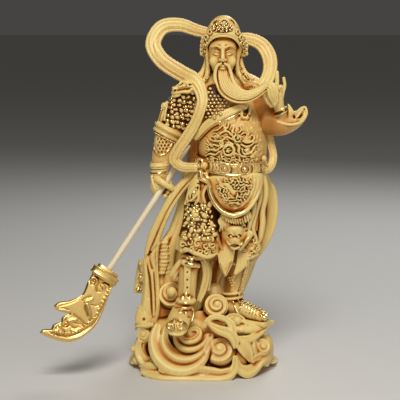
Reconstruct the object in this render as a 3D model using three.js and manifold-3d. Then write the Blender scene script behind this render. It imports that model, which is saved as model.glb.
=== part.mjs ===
// A carved boxwood figurine of a bearded general in armour and robe, standing on swirling clouds.
// The figure, its streaming sash and the cloud base are cut from one block. A halberd with a wooden
// pole and a gilt blade is pushed through the bore of the figure's right fist.
// Millimetres, +Z up, the figure looks along -Y, the origin is the middle of the base's underside.
import * as THREE from "three";
import { mergeVertices } from "three/addons/utils/BufferGeometryUtils.js";
import Module from "manifold-3d";

const wasm = await Module();
wasm.setup();

// Driving dimensions
const FIGURE_HEIGHT = 174; // from the soles to the top of the helmet
const BASE_WIDTH = 83;
const BASE_DEPTH = 66;
const BASE_HEIGHT = 26; // from the table to the soles
const POLE_DIAMETER = 3.4;
const POLE_CLEARANCE = 0.3; // between the pole and the bore it runs in, on the radius
const POLE_LENGTH = 90; // from its pointed tail to the end inside the blade's collar
const TAIL_TAPER = 22; // length of the pointed tail
const SOCKET_DEPTH = 6; // how far the pole goes into the collar
const COLLAR_WIDTH = 16.8;
const COLLAR_THICKNESS = 7.4;
const COLLAR_HEIGHT = 7.2;
const BLADE_LENGTH = 48; // from the collar to the lowest point of the edge
const BLADE_THICKNESS = 2.6;
const BLADE_BEVEL = 0.9; // how much the edge is ground away on each face

// The figure is drawn on a grid 174 units high whose soles are at 26, and the clouds on one 83 x 66 x 26.
const DRAWN = { height: 174, soles: 26, width: 83, depth: 66 };
const figureScale = FIGURE_HEIGHT / DRAWN.height;
const figure = {
  size: figureScale,
  point: (x, y, z) =>
    new THREE.Vector3(x * figureScale, y * figureScale, BASE_HEIGHT + (z - DRAWN.soles) * figureScale),
};
const clouds = {
  size: BASE_WIDTH / DRAWN.width,
  point: (x, y, z) =>
    new THREE.Vector3(
      (x * BASE_WIDTH) / DRAWN.width,
      (y * BASE_DEPTH) / DRAWN.depth,
      (z * BASE_HEIGHT) / DRAWN.soles,
    ),
};

const FRONT = [0, -1, 0];
const BACK = [0, 1, 0];
const UP = [0, 0, 1];

// Six times the volume that a closed mesh holds, below zero where its faces point in.
function signedVolume(position, corners) {
  const [p, q, r] = [new THREE.Vector3(), new THREE.Vector3(), new THREE.Vector3()];
  let sum = 0;
  for (let i = 0; i < corners.length; i += 3) {
    p.fromBufferAttribute(position, corners[i]);
    q.fromBufferAttribute(position, corners[i + 1]);
    r.fromBufferAttribute(position, corners[i + 2]);
    sum += p.dot(q.cross(r));
  }
  return sum;
}

// A closed three.js geometry as a solid, turned so that its faces point out.
function solid(geometry) {
  const bare = geometry.clone();
  bare.deleteAttribute("normal");
  bare.deleteAttribute("uv");
  const { attributes, index } = mergeVertices(bare, 1e-4);
  const triVerts = new Uint32Array(index.array);
  if (signedVolume(attributes.position, triVerts) < 0) triVerts.reverse();
  const vertProperties = attributes.position.array;
  return new wasm.Manifold(new wasm.Mesh({ numProp: 3, vertProperties, triVerts }));
}

const join = (...solids) => solids.flat(Infinity).reduce((whole, piece) => whole.add(piece));

// The geometry of a solid, for a mesh.
function geometryOf(made) {
  const { vertProperties, triVerts } = made.getMesh();
  return new THREE.BufferGeometry()
    .setAttribute("position", new THREE.BufferAttribute(vertProperties, 3))
    .setIndex(new THREE.BufferAttribute(triVerts, 1));
}

const smooth = (points) => new THREE.CatmullRomCurve3(points, false, "centripetal");

// A form that follows a path. Each station is [x, y, z, half width, half thickness] on the grid.
// face is the way its broad side looks, or one direction for each station. folds are grooves along the
// face, and square below 1 makes the section boxier. lobes scallop the outline.
function sweep(stations, options = {}) {
  const { rows = 8, sides = 10, face = FRONT, folds = 0, depth = 0, square = 1 } = options;
  const { blunt = 0.5, lobes = 0, lobeDepth = 0, grid = figure } = options;
  const path = smooth(stations.map(([x, y, z]) => grid.point(x, y, z)));
  const sizes = smooth(
    stations.map(([, , , width, thick]) => new THREE.Vector3(width, thick, 0).multiplyScalar(grid.size)),
  );
  const faces = Array.isArray(face[0]) ? face : [face, face];
  const facing = smooth(faces.map((way) => new THREE.Vector3(...way)));
  const shape = new THREE.SphereGeometry(1, sides, rows);
  const place = shape.attributes.position;
  const power = (value) => Math.sign(value) * Math.abs(value) ** square;
  for (let i = 0; i < place.count; i++) {
    const row = Math.floor(i / (sides + 1));
    const angle = ((i % (sides + 1)) / sides) * 2 * Math.PI;
    const t = THREE.MathUtils.clamp((row - 1) / (rows - 2), 0, 1);
    const along = path.getTangent(t);
    const out = facing.getPoint(t).projectOnPlane(along).normalize();
    const across = new THREE.Vector3().crossVectors(along, out);
    const { x: width, y: thick } = sizes.getPoint(t);
    const spot = path.getPoint(t);
    if (row === 0) spot.addScaledVector(along, -thick * blunt);
    else if (row === rows) spot.addScaledVector(along, thick * blunt);
    else {
      const scallop = 1 + lobeDepth * Math.cos(lobes * angle);
      const side = power(Math.cos(angle)) * scallop;
      const high = power(Math.sin(angle)) * scallop;
      const groove = high > 0 ? (depth * grid.size * (1 - Math.cos(folds * Math.PI * (side + 1)))) / 2 : 0;
      spot.addScaledVector(across, side * width).addScaledVector(out, high * thick - groove);
    }
    place.setXYZ(i, spot.x, spot.y, spot.z);
  }
  return solid(shape);
}

// An egg-shaped form, with its half sizes and a turn about x, y and z in degrees.
function blob([x, y, z], [rx, ry, rz], { turn = [0, 0, 0], sides = 10, rows = 7, grid = figure } = {}) {
  const shape = new THREE.SphereGeometry(1, sides, rows).rotateX(Math.PI / 2);
  shape.scale(rx * grid.size, ry * grid.size, rz * grid.size);
  const turned = new THREE.Euler(...turn.map(THREE.MathUtils.degToRad));
  shape.applyMatrix4(new THREE.Matrix4().makeRotationFromEuler(turned));
  const { x: px, y: py, z: pz } = grid.point(x, y, z);
  return solid(shape.translate(px, py, pz));
}

// A band around an upright form: its half sizes, height and thickness, tipped sideways by tilt degrees.
function band([x, y, z], [rx, ry], height, thick, tilt = 0) {
  const inner = 1 - thick / rx;
  const profile = [
    [inner, -0.5],
    [1, -0.5],
    [1 + 0.2 * (1 - inner), 0],
    [1, 0.5],
    [inner, 0.5],
    [inner, -0.5],
  ].map(([r, h]) => new THREE.Vector2(r, h));
  const shape = new THREE.LatheGeometry(profile, 20).rotateX(Math.PI / 2);
  shape.scale(rx * figure.size, ry * figure.size, height * figure.size);
  shape.rotateY(THREE.MathUtils.degToRad(tilt));
  const { x: px, y: py, z: pz } = figure.point(x, y, z);
  return solid(shape.translate(px, py, pz));
}

// A rolled cloud: a drum whose end faces one way and is wound into a spiral that rises to its middle.
function volute([x, y, z], radius, way, options = {}) {
  const { depth = 1, hand = 1, start = 0, steps = 7, grid = clouds } = options;
  const TURNS = 1.5;
  const PITCH = 0.38; // how far one winding lies inside the last, in radii
  const last = Math.round(TURNS * steps);
  const axis = new THREE.Vector3(...way).normalize();
  const side = new THREE.Vector3(...UP).cross(axis).normalize().multiplyScalar(hand);
  const top = new THREE.Vector3().crossVectors(axis, side).multiplyScalar(hand);
  const centre = grid.point(x, y, z);
  const size = radius * grid.size;
  const place = (reach, step, height) => {
    const angle = start + (step / steps) * 2 * Math.PI;
    const dome = 0.35 * (1 - reach * reach);
    return centre
      .clone()
      .addScaledVector(side, size * reach * Math.cos(angle))
      .addScaledVector(top, size * reach * Math.sin(angle))
      .addScaledVector(axis, size * (height + dome));
  };
  const points = [];
  const add = (point) => points.push(point) - 1;
  const groove = [];
  for (let i = 0; i <= last + steps; i++) {
    groove.push(add(place(1 - (PITCH * i) / steps, i, i < steps ? -0.08 : -0.05)));
  }
  const crest = [];
  for (let i = 0; i <= last; i++) crest.push(add(place(1 - PITCH * (i / steps + 0.4), i, 0.12)));
  const faces = [];
  const quad = (p, q, r, t) => faces.push(p, q, r, p, r, t);
  for (let i = 0; i < last; i++) {
    quad(groove[i], groove[i + 1], crest[i + 1], crest[i]);
    quad(crest[i], crest[i + 1], groove[i + 1 + steps], groove[i + steps]);
  }
  const knob = add(place(0, 0, 0.1));
  const eye = [...groove.slice(last), crest[last]];
  eye.forEach((spot, i) => faces.push(knob, spot, eye[(i + 1) % eye.length]));
  const rim = [...groove.slice(0, steps + 1).reverse(), crest[0]];
  const back = rim.map((spot) => add(points[spot].clone().addScaledVector(axis, -size * (depth + 0.1))));
  const rear = add(centre.clone().addScaledVector(axis, -size * depth));
  rim.forEach((spot, i) => {
    const next = (i + 1) % rim.length;
    quad(spot, rim[next], back[next], back[i]);
    faces.push(rear, back[i], back[next]);
  });
  const shape = new THREE.BufferGeometry().setFromPoints(points).setIndex(faces);
  return solid(shape);
}

function cloudBase() {
  const mound = sweep(
    [
      [-0.5, -1, -1, 36.5, 28.5],
      [-0.5, -1, 5, 39.3, 31.5],
      [0, -1, 12, 38, 29],
      [1, 0, 19, 34, 26],
      [2, 1, 25, 28, 21],
      [2, 3, 31, 21, 15],
    ],
    { rows: 6, sides: 20, blunt: 0.05, lobes: 6, lobeDepth: 0.04, grid: clouds },
  );
  const rolls = [
    volute([-6.5, -25.5, 15.5], 17, [-0.1, -0.9, 0.5], { start: 2.6, steps: 9, depth: 0.8 }),
    volute([9.4, -27.6, 14.6], 7.5, [0.15, -0.74, 0.7], { hand: -1, start: 0.6, depth: 1.4 }),
    volute([34.3, -18, 14], 5.6, [0.55, -0.7, 0.6], { start: 2, depth: 1.8 }),
    volute([22, -20, 19], 5.4, [0.2, -0.7, 0.6], { hand: -1, depth: 1.4 }),
    volute([-30.5, -14, 19.5], 6.4, [-0.35, -0.9, 0.3], { hand: -1, start: 1, depth: 1 }),
    volute([-36.7, -7, 11], 4.6, [-0.8, -0.6, 0.2], { depth: 1.2 }),
    volute([36, 6, 9], 7.8, [1, 0.1, 0.35], { hand: -1 }),
    volute([-34.5, 13, 11], 9, [-1, 0.5, 0.3], {}),
    volute([14, 25.5, 12], 10, [0.2, 1, 0.35], {}),
    volute([-12, 26, 12.5], 10, [-0.2, 1, 0.35], { hand: -1 }),
  ];
  const crests = [
    [
      [13, -25, 27, 2, 2],
      [19, -27, 21, 3.4, 3],
      [24, -27, 13, 4, 3.4],
      [23, -28, 5, 4, 3],
    ],
    [
      [25, -22, 15, 3, 3],
      [30, -25, 9, 4.4, 3.4],
      [31, -24, 3, 5.6, 3],
    ],
    [
      [-24, -22, 24, 3, 3],
      [-26, -25, 15, 3.6, 3],
      [-23, -27.5, 7, 4, 3],
      [-15, -31, 2.5, 4, 2.4],
    ],
    [
      [-35, -12, 16, 2.6, 2.6],
      [-36.8, -12, 12, 2, 2.2],
      [-35.5, -15, 6, 2.6, 2.6],
      [-30, -20, 3, 3, 2.6],
    ],
  ].map((path) => sweep(path, { rows: 5, sides: 5, face: [0.1, -1, 0.3], grid: clouds }));
  const tongue = sweep(
    [
      [18, -13, 21.5, 8, 3.4],
      [29, -15, 21.5, 8.5, 3.4],
      [37, -13, 22.5, 5.5, 2.6],
      [41, -11, 24.4, 1.2, 0.8],
    ],
    { rows: 5, sides: 6, face: UP, grid: clouds },
  );
  // Cloud that climbs round the legs, drawn with the figure because it holds the figure up.
  const bank = [
    sweep(
      [
        [-22, 3, 20, 14, 12],
        [-18, 3, 36, 11, 9],
        [-12, 4, 48, 9, 8],
      ],
      { rows: 5, sides: 8 },
    ),
    sweep(
      [
        [12, 0, 20, 18, 15],
        [9, 1, 32, 13, 12],
        [6, 3, 43, 9, 9],
      ],
      { rows: 5, sides: 8 },
    ),
    volute([8.4, -13, 37.5], 6.6, [0.15, -0.8, 0.5], { depth: 1.3, grid: figure }),
    volute([-19, -9.5, 42], 6.8, [-0.1, -0.8, 0.5], { hand: -1, depth: 1.2, grid: figure }),
  ];
  return [mound, rolls, crests, tongue, bank];
}

function rightLeg() {
  return [
    sweep(
      [
        [3, -2, 109, 11, 10],
        [0.5, -7, 97, 10.5, 9],
        [-0.5, -10, 85, 10.5, 9],
        [-1.5, -13, 75, 12, 9.5],
      ],
      { rows: 6, sides: 8 },
    ),
    // the flared hem of the thigh armour, above the knee
    sweep(
      [
        [-1.5, -12.5, 78, 11.5, 9],
        [-2, -13, 73, 12.6, 10.3],
        [-2.5, -13, 67, 12, 9.5],
      ],
      { rows: 4, sides: 11, lobes: 8, lobeDepth: 0.04, blunt: 0.1 },
    ),
    sweep(
      [
        [-4, -11, 70, 6.5, 6],
        [-7.5, -13, 58, 6.6, 6.4],
        [-8.5, -13.5, 48, 6, 6],
        [-9.3, -14, 38, 5.4, 6],
      ],
      { rows: 5, sides: 7 },
    ),
    blob([-7.3, -19, 63.5], [5.2, 3, 4], { sides: 6, rows: 4 }),
    sweep(
      [
        [-8, -19.5, 61, 2.2, 1.6],
        [-8.6, -19.8, 52, 2, 1.6],
        [-9.2, -20, 43, 2.6, 1.8],
      ],
      { rows: 4, sides: 5, square: 0.7 },
    ),
    // cloth tied under the knee
    sweep(
      [
        [-12, -12, 66, 2.5, 2],
        [-15, -13, 60, 3, 1.8],
        [-17, -12, 54, 2.6, 1.5],
      ],
      { rows: 4, sides: 5 },
    ),
    sweep(
      [
        [-0.5, -12, 66, 3, 2.6],
        [2.5, -12, 57, 3.6, 2.6],
        [2.5, -11, 44, 3, 2.6],
      ],
      { rows: 5, sides: 6, folds: 2, depth: 0.8 },
    ),
    // boot
    sweep(
      [
        [-8.5, -10, 37, 6, 6],
        [-10.5, -17, 36, 6, 5.6],
        [-12.5, -24, 32.5, 6.8, 5.6],
        [-13.8, -30, 29.5, 6.6, 5],
      ],
      { rows: 6, sides: 7, face: UP, blunt: 0.7 },
    ),
    blob([-9, -17, 41], [6.2, 6.5, 3], { sides: 7, rows: 4 }),
  ];
}

function leftLeg() {
  return [
    sweep(
      [
        [26, 0, 106, 11, 10],
        [26.5, -2, 90, 10, 9],
        [25.5, -3, 72, 8, 8],
      ],
      { rows: 5, sides: 7 },
    ),
    sweep(
      [
        [25, -3, 72, 7.5, 7.5],
        [21.5, -3.5, 57, 7, 6.6],
        [18.6, -3.5, 45, 6, 6],
        [17, -3.5, 34, 6, 6],
      ],
      { rows: 5, sides: 7 },
    ),
    blob([26.5, -8.5, 71], [6.4, 5, 6.2], { sides: 6, rows: 5 }),
    // boot and its thick sole
    sweep(
      [
        [15.5, -2, 35, 6, 5.2],
        [22, -7, 34.5, 6, 5.2],
        [29, -12.5, 32.5, 5.4, 4.4],
        [35.5, -17, 31, 4.4, 3.4],
      ],
      { rows: 6, sides: 7, face: UP, blunt: 0.8 },
    ),
    sweep(
      [
        [15, -2, 28.5, 6.4, 2.2],
        [26, -10, 28.3, 6.6, 2.2],
        [37, -18, 27.6, 4.6, 2],
      ],
      { rows: 5, sides: 7, face: UP, square: 0.7 },
    ),
  ];
}

function robes() {
  const backRobe = sweep(
    [
      [16, 5, 114, 20, 12],
      [13, 8, 92, 25, 11],
      [9, 9.5, 72, 27.5, 10.5],
      [2.5, 9, 52, 24.5, 11],
      [-2.5, 8, 32, 22, 13],
    ],
    { rows: 6, sides: 20, face: BACK, folds: 4, depth: 3.4, square: 0.85 },
  );
  // the wing of the robe that blows out beside the left leg
  const wing = sweep(
    [
      [33, 3, 112, 3, 2.4],
      [38.3, 6, 99, 4.8, 1.8],
      [38.4, 8, 86, 5.6, 1.8],
      [34.6, 8, 74, 6.2, 1.8],
      [28.2, 7, 62, 5.4, 1.8],
      [23.6, 5, 52, 3.2, 1.8],
    ],
    { rows: 7, sides: 6, face: [-0.25, -1, 0] },
  );
  // three long folds of the sash that fall from the belt to the clouds
  const stole = sweep(
    [
      [-2.6, -9, 113, 3.2, 2.6],
      [-14.2, -9.5, 101, 3.1, 2.4],
      [-21.6, -9, 88.4, 3.2, 2.4],
      [-27, -8, 75, 3.7, 2.6],
      [-29, -7, 62, 4.1, 2.8],
      [-29.3, -7, 46, 5.2, 3],
      [-30, -8, 33, 6, 3.4],
      [-31.5, -9, 21, 6, 3.6],
    ],
    { rows: 10, sides: 12, folds: 3, depth: 1.3, square: 0.8 },
  );
  // the lining of the robe, between those folds and the right leg
  const lining = sweep(
    [
      [-9.6, 1, 99, 3, 3],
      [-11.4, 0, 89, 3.6, 3],
      [-15, -1, 78, 4, 3],
      [-19.6, -2.4, 68.6, 4.6, 3],
      [-20.6, -1, 56, 4.6, 3],
      [-21.6, 0, 44, 5, 3.6],
      [-22, 0, 36, 5, 4],
    ],
    { rows: 7, sides: 7, square: 0.8 },
  );
  // the side of the robe above the belt, behind the right arm
  const waist = sweep(
    [
      [-1, 3, 133, 3.4, 7],
      [-3.4, 3.5, 124, 4.6, 7.5],
      [-5, 4, 115, 5.6, 8],
      [-6, 4, 104, 6, 8],
    ],
    { rows: 5, sides: 7 },
  );
  // the hem of the robe that shows outside those folds
  const hem = sweep(
    [
      [-34.8, 4, 60, 2.5, 2.2],
      [-35.7, 4, 50, 3.3, 2.6],
      [-36.4, 4, 41, 3.6, 2.6],
    ],
    { rows: 4, sides: 6, square: 0.5, blunt: 0.2 },
  );
  const hemLink = sweep(
    [
      [-36, 5, 50, 5, 3],
      [-24, 6, 48, 10, 4],
    ],
    { rows: 4, sides: 5, face: UP },
  );
  // cloth thrown over the right thigh, and the folds beside the left thigh
  const thighCloth = sweep(
    [
      [1, -14, 113, 4.5, 3],
      [-2, -15, 105, 6, 3.6],
      [-3.5, -15.5, 97, 6.5, 3],
    ],
    { rows: 5, sides: 8, folds: 2, depth: 1.4 },
  );
  const sideFolds = [
    [
      [34.5, -6, 111, 2.6, 2.2],
      [35, -7, 98, 3, 2.2],
      [33, -8, 84, 3, 2],
      [31, -8, 74, 2.2, 1.6],
    ],
    [
      [29, -12, 106, 2.6, 2.2],
      [29.5, -13, 94, 2.8, 2.2],
      [28, -13, 82, 2.2, 2],
    ],
  ].map((path) => sweep(path, { rows: 5, sides: 6, face: [0.4, -1, 0] }));
  return [backRobe, wing, stole, lining, waist, hem, hemLink, thighCloth, sideFolds];
}

function apron() {
  const shield = sweep(
    [
      [17.5, -14, 112, 17, 7],
      [18, -15, 104, 16, 6.5],
      [18.5, -15.5, 96, 12, 5.4],
      [18.8, -15.5, 90.5, 4, 3.4],
    ],
    { rows: 6, sides: 9, blunt: 0.4 },
  );
  // the raised rim of the shield-shaped apron
  const RIM_STEPS = 8;
  const rimPath = Array.from({ length: RIM_STEPS + 1 }, (_, i) => {
    const angle = Math.PI * (i / RIM_STEPS);
    const side = Math.cos(angle);
    return [18 + 15.8 * side, -20.3 + 6.5 * side * side, 110 - 20.5 * Math.sin(angle), 1.5, 1.3];
  });
  const rim = sweep(rimPath, { rows: 9, sides: 5 });
  const beast = blob([17.8, -13.5, 79.5], [8.6, 6.4, 8.6], { sides: 8, rows: 6 });
  const muzzle = blob([18.2, -19, 76], [4.4, 2.4, 3], { sides: 6, rows: 4 });
  const points = [
    [
      [14.5, -14.5, 77, 4.6, 1.6],
      [13.9, -16, 68, 5.6, 1.5],
      [13.5, -16.5, 61, 4, 1.3],
      [13.4, -17, 56, 0.8, 0.8],
    ],
    [
      [24, -13, 78, 4, 1.6],
      [22.5, -14, 69, 4.6, 1.5],
      [19.8, -14.5, 62, 3.4, 1.3],
      [18.4, -15, 57, 0.8, 0.8],
    ],
  ].map((path) => sweep(path, { rows: 5, sides: 6, blunt: 0.3 }));
  return [shield, rim, beast, muzzle, points];
}

function torso() {
  return [
    // chest and the round belly
    sweep(
      [
        [12, 1, 164, 8.5, 7],
        [11.5, 1, 159.5, 18, 9],
        [11, 0.5, 152, 20, 12.5],
        [13.2, -0.5, 143, 18.4, 15.5],
        [16, -1.6, 134, 19.2, 18.4],
        [17.2, -2, 126, 19.8, 20],
        [17.2, -2, 119, 19, 19.4],
        [16.8, -1, 112, 18, 18],
      ],
      { rows: 9, sides: 11, blunt: 0.3 },
    ),
    // hips under the belt
    sweep(
      [
        [16.6, 0, 115, 18.6, 17.4],
        [16.4, 1, 107, 20, 17],
        [16, 2, 98, 20.5, 15],
      ],
      { rows: 4, sides: 9, blunt: 0.3 },
    ),
    // shoulders
    sweep(
      [
        [-9, 2, 157, 6, 7],
        [1, 2, 161, 6.4, 7],
        [23, 2, 161.5, 6.4, 7],
        [31, 2, 158, 6, 7],
      ],
      { rows: 5, sides: 8, face: UP },
    ),
    band([16.2, -2, 115.2], [19.8, 20.4], 6.6, 6, 6),
    // the crossed collar of the robe, with a curl where it is fastened
    sweep(
      [
        [-3.5, -12, 131, 1.4, 1.6],
        [3, -16, 140, 2.3, 1.8],
        [12, -17, 147, 2.8, 1.8],
        [21, -15.5, 152, 2.8, 1.8],
        [26, -12.5, 154, 2, 1.6],
      ],
      { rows: 6, sides: 6, face: [-0.1, -1, 0.15] },
    ),
    blob([25.5, -15, 150.5], [2.6, 2.4, 3], { sides: 6, rows: 5 }),
  ];
}

function finger(path, thick = 1.25) {
  return sweep(
    path.map((spot) => [...spot, thick, thick]),
    { rows: 4, sides: 5, blunt: 0.8 },
  );
}

function rightArm() {
  const grip = GRIP;
  const fist = [
    blob([grip[0] - 3.2, grip[1] + 0.5, grip[2] + 1], [4.6, 4.6, 7.2], {
      turn: [0, 18, 0],
      sides: 7,
      rows: 5,
    }),
    // the thumb crosses the front of the pole
    finger(
      [
        [grip[0] - 3.6, grip[1] - 2.6, grip[2] + 5.6],
        [grip[0] - 0.6, grip[1] - 4.6, grip[2] + 3.4],
        [grip[0] + 3.4, grip[1] - 4.4, grip[2] + 0.6],
        [grip[0] + 5.2, grip[1] - 3.2, grip[2] - 1],
      ],
      1.9,
    ),
    [-4.4, -1.6, 1.4].map((step) => {
      // each finger goes round the back of the pole, and step is its place along the pole
      const along = (share) => step * share;
      return finger(
        [
          [grip[0] - 3.4 + along(0.5), grip[1] + 2.4, grip[2] - 0.6 + along(0.75)],
          [grip[0] + 1 + along(0.5), grip[1] + 3.6, grip[2] - 1.4 + along(0.75)],
          [grip[0] + 3.6 + along(0.5), grip[1] + 0.8, grip[2] - 2.2 + along(0.75)],
          [grip[0] + 3.2 + along(0.5), grip[1] - 2, grip[2] - 2 + along(0.75)],
        ],
        1.6,
      );
    }),
    blob([grip[0] + 0.6, grip[1] + 2.5, grip[2] - 0.5], [4.6, 2.6, 5.6], {
      turn: [0, 30, 0],
      sides: 6,
      rows: 5,
    }),
  ];
  return [
    // pauldron with the scales, and the beast's head on the shoulder
    sweep(
      [
        [-7, 1, 160, 8.5, 8.5],
        [-11, 0.5, 152, 10, 9.6],
        [-14.5, 0.5, 143, 10, 9.4],
        [-17, 0.5, 136, 8.6, 8.4],
      ],
      { rows: 6, sides: 8, blunt: 0.5 },
    ),
    blob([-10.5, -5.5, 160], [7, 5.5, 4.4], { turn: [0, -20, 0], sides: 7, rows: 5 }),
    blob([-16.5, -6, 158], [2.6, 2.6, 2.6], { sides: 5, rows: 4 }),
    // the wing-shaped plate on the outside of the arm
    sweep(
      [
        [-22.5, 0, 153, 1.6, 3],
        [-23.8, 0, 146, 1.8, 4.5],
        [-24.8, 0, 139, 1.8, 4.6],
      ],
      { rows: 4, sides: 5 },
    ),
    // turned-back sleeve, vambrace and wrist
    sweep(
      [
        [-16, 0, 140.5, 9, 8.6],
        [-18.6, -0.5, 135.5, 8.8, 8.4],
        [-19.8, -1, 132, 7.8, 7.6],
      ],
      { rows: 4, sides: 8, blunt: 0.2 },
    ),
    sweep(
      [
        [-19.4, -1, 134, 6.6, 6.4],
        [-22, -3, 124, 6, 5.8],
        [-24, -5.5, 115, 5, 4.8],
        [-24.4, -6.8, 110, 4.2, 4.2],
      ],
      { rows: 5, sides: 7 },
    ),
    sweep(
      [
        [-23.6, -5, 116.5, 5.5, 5.3],
        [-24.2, -6.2, 112.5, 5.1, 4.9],
      ],
      { rows: 4, sides: 8, blunt: 0.1 },
    ),
    fist,
  ];
}

function leftArm() {
  const wrist = [42.5, -12.5, 148.5];
  return [
    // upper sleeve
    sweep(
      [
        [30, 2, 158, 8, 8],
        [35, 0.5, 149, 8.8, 8.4],
        [39, -2, 140, 8.4, 8],
        [43, -5, 136, 6, 6.6],
      ],
      { rows: 6, sides: 8 },
    ),
    // beast's head on this shoulder
    blob([29.5, -6, 160], [6, 5, 3.8], { turn: [0, 20, 0], sides: 6, rows: 5 }),
    // the wide cuff of the robe, with its corner blown up and out
    sweep(
      [
        [37, -5, 137.5, 5, 6],
        [44, -7, 138.5, 5.4, 6.4],
        [51, -6.5, 141.5, 3.8, 5.6],
        [56.5, -5.5, 145.5, 2.8, 4.2],
        [59, -5, 148.5, 1.4, 2.2],
      ],
      { rows: 6, sides: 7, face: [0.2, -1, 0.2], blunt: 0.5 },
    ),
    // forearm and the cuff round it
    sweep(
      [
        [43, -6, 136, 5.4, 5.4],
        [44, -9.5, 142, 5.2, 5.2],
        [43.4, -12, 147, 4, 4],
      ],
      { rows: 4, sides: 7 },
    ),
    // hand, raised, with the fingers gathered round the end of the beard
    blob([wrist[0], wrist[1] - 1, wrist[2] + 6], [4.4, 3, 6.4], { sides: 7, rows: 5 }),
    finger([
      [41.2, -13, 158],
      [41.2, -14.5, 164],
      [41.1, -14, 169.5],
    ]),
    finger([
      [43.4, -13, 157],
      [44.2, -15.4, 160],
      [42.4, -17, 162],
      [40.2, -17, 161],
    ]),
    finger([
      [45, -12.5, 155.5],
      [46, -14.5, 159.5],
      [45.2, -16.2, 162],
    ]),
    finger([
      [45.8, -12, 153],
      [46.8, -12.6, 159],
      [46.2, -13, 165.5],
    ]),
    finger([
      [39.5, -13, 152.5],
      [37.6, -15.5, 156.5],
      [37.4, -16.5, 160.5],
    ]),
  ];
}

function head() {
  return [
    // skull and face
    blob([11.4, -4, 178.5], [8.7, 10.6, 11.6], { sides: 9, rows: 7 }),
    sweep(
      [
        [11.4, -14.2, 181.6, 1, 1],
        [11.4, -15.6, 178, 1.3, 1.3],
        [11.4, -15.6, 175.4, 1.9, 1.5],
      ],
      { rows: 4, sides: 5 },
    ),
    // helmet: dome, browband, cheek flaps and the flower boss above the brow
    blob([12, -1, 186], [10.4, 11.4, 14], { sides: 9, rows: 6 }),
    sweep(
      [
        [1.2, -3, 177, 1.8, 2.4],
        [2, -8.5, 184, 2, 2],
        [6, -12.6, 188.3, 2.1, 2],
        [11.6, -14, 189.6, 2.3, 2],
        [17.4, -12.6, 188.3, 2.1, 2],
        [21.6, -8.5, 184, 2, 2],
        [22.6, -3, 177, 1.8, 2.4],
      ],
      { rows: 8, sides: 5 },
    ),
    blob([0.9, -1, 181.5], [2.4, 4.6, 6.6], { sides: 6, rows: 5 }),
    blob([23.4, -1, 181.5], [2.4, 4.6, 6.6], { sides: 6, rows: 5 }),
    blob([12, -9.4, 194], [6.6, 3.2, 4], { turn: [35, 0, 0], sides: 7, rows: 5 }),
    // hood that covers the neck and spreads over the shoulders
    sweep(
      [
        [11.8, 3.5, 186, 10.2, 7.5],
        [11.8, 4, 176, 10, 8],
        [12, 4.5, 168.5, 11.8, 8.5],
        [13, 3.5, 163, 17.8, 9],
      ],
      { rows: 6, sides: 12, face: BACK, folds: 3, depth: 1.2 },
    ),
    // beard, swept to the raised hand, with its tip hanging over the fingers
    sweep(
      [
        [11.4, -9, 172, 6, 4.5],
        [11.8, -12, 166, 5.8, 4.2],
        [14, -15.5, 160.5, 5.9, 3.8],
        [18.6, -18, 156.8, 5.4, 3.4],
        [24.5, -18.8, 156, 4.4, 3.1],
        [30.6, -18.4, 158.4, 3.6, 2.8],
        [35.5, -17.6, 162, 2.8, 2.4],
      ],
      { rows: 8, sides: 8, folds: 3, depth: 0.7 },
    ),
    sweep(
      [
        [36, -17.8, 163.4, 2, 1.6],
        [37.6, -18.8, 160.5, 3, 2],
        [38.8, -18.4, 156, 2.7, 1.9],
        [39.4, -17.6, 150.8, 0.7, 0.7],
      ],
      { rows: 5, sides: 6 },
    ),
    // moustache
    [
      [
        [10.2, -15, 173.4, 1.1, 1],
        [7, -13.8, 170, 1.5, 1.3],
        [7.4, -13.8, 164, 1.5, 1.3],
      ],
      [
        [12.6, -15.4, 173.4, 1.1, 1],
        [16.2, -14.8, 170, 1.5, 1.2],
        [18, -16.4, 163.5, 1.5, 1.2],
      ],
    ].map((path) => sweep(path, { rows: 5, sides: 5 })),
  ];
}

// The long sash that loops up behind the head, comes down over the chest and is tied at the belt.
function sash() {
  const loops = [
    [
      [6, 7, 189.5, 2.6, 2],
      [-2, 8, 191.2, 3.2, 1.8],
      [-13, 7, 194.6, 3.8, 1.8],
      [-22.5, 5, 193, 4.2, 1.8],
      [-27.4, 2, 184, 4.4, 1.8],
      [-23, -1, 175.5, 4.4, 1.8],
      [-12, -4, 168, 4.5, 2],
      [-3, -8.5, 163.2, 4.3, 2.2],
      [1.2, -13, 154, 3.6, 2.2],
      [-0.5, -15, 144, 3.4, 2.2],
      [-6, -15, 134, 3.5, 2.2],
      [-13, -14, 125.5, 3.2, 2.2],
      [-15.6, -13.5, 120.4, 2.8, 2.2],
      [-11.4, -14, 116.6, 2.6, 2.2],
      [-3, -15, 116, 2.6, 2.2],
      [3, -15, 117, 2.4, 2],
    ],
    [
      [19, 7, 187.5, 2.6, 2],
      [26, 8, 187.6, 3.4, 1.8],
      [33.6, 6.5, 184.4, 3.8, 1.8],
      [37.6, 3.5, 177.6, 4, 1.8],
      [38.2, -1, 170, 3.8, 1.8],
      [35.4, -5.5, 163, 3.6, 1.8],
      [30, -7, 158, 3.4, 1.8],
    ],
    [
      [35, 1, 140, 2.2, 2.6],
      [38.6, 0, 130, 2.2, 2.8],
      [40.6, -2, 120, 2.2, 2.8],
      [38.2, -5, 114.6, 2.2, 2.6],
      [33.6, -8, 113.6, 2.2, 2.2],
    ],
  ];
  return [
    sweep(loops[0], { rows: 25, sides: 7, folds: 1, depth: 0.9, square: 0.8 }),
    sweep(loops[1], { rows: 10, sides: 7, folds: 1, depth: 0.9, square: 0.8 }),
    sweep(loops[2], { rows: 6, sides: 6, square: 0.8 }),
  ];
}

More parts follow.
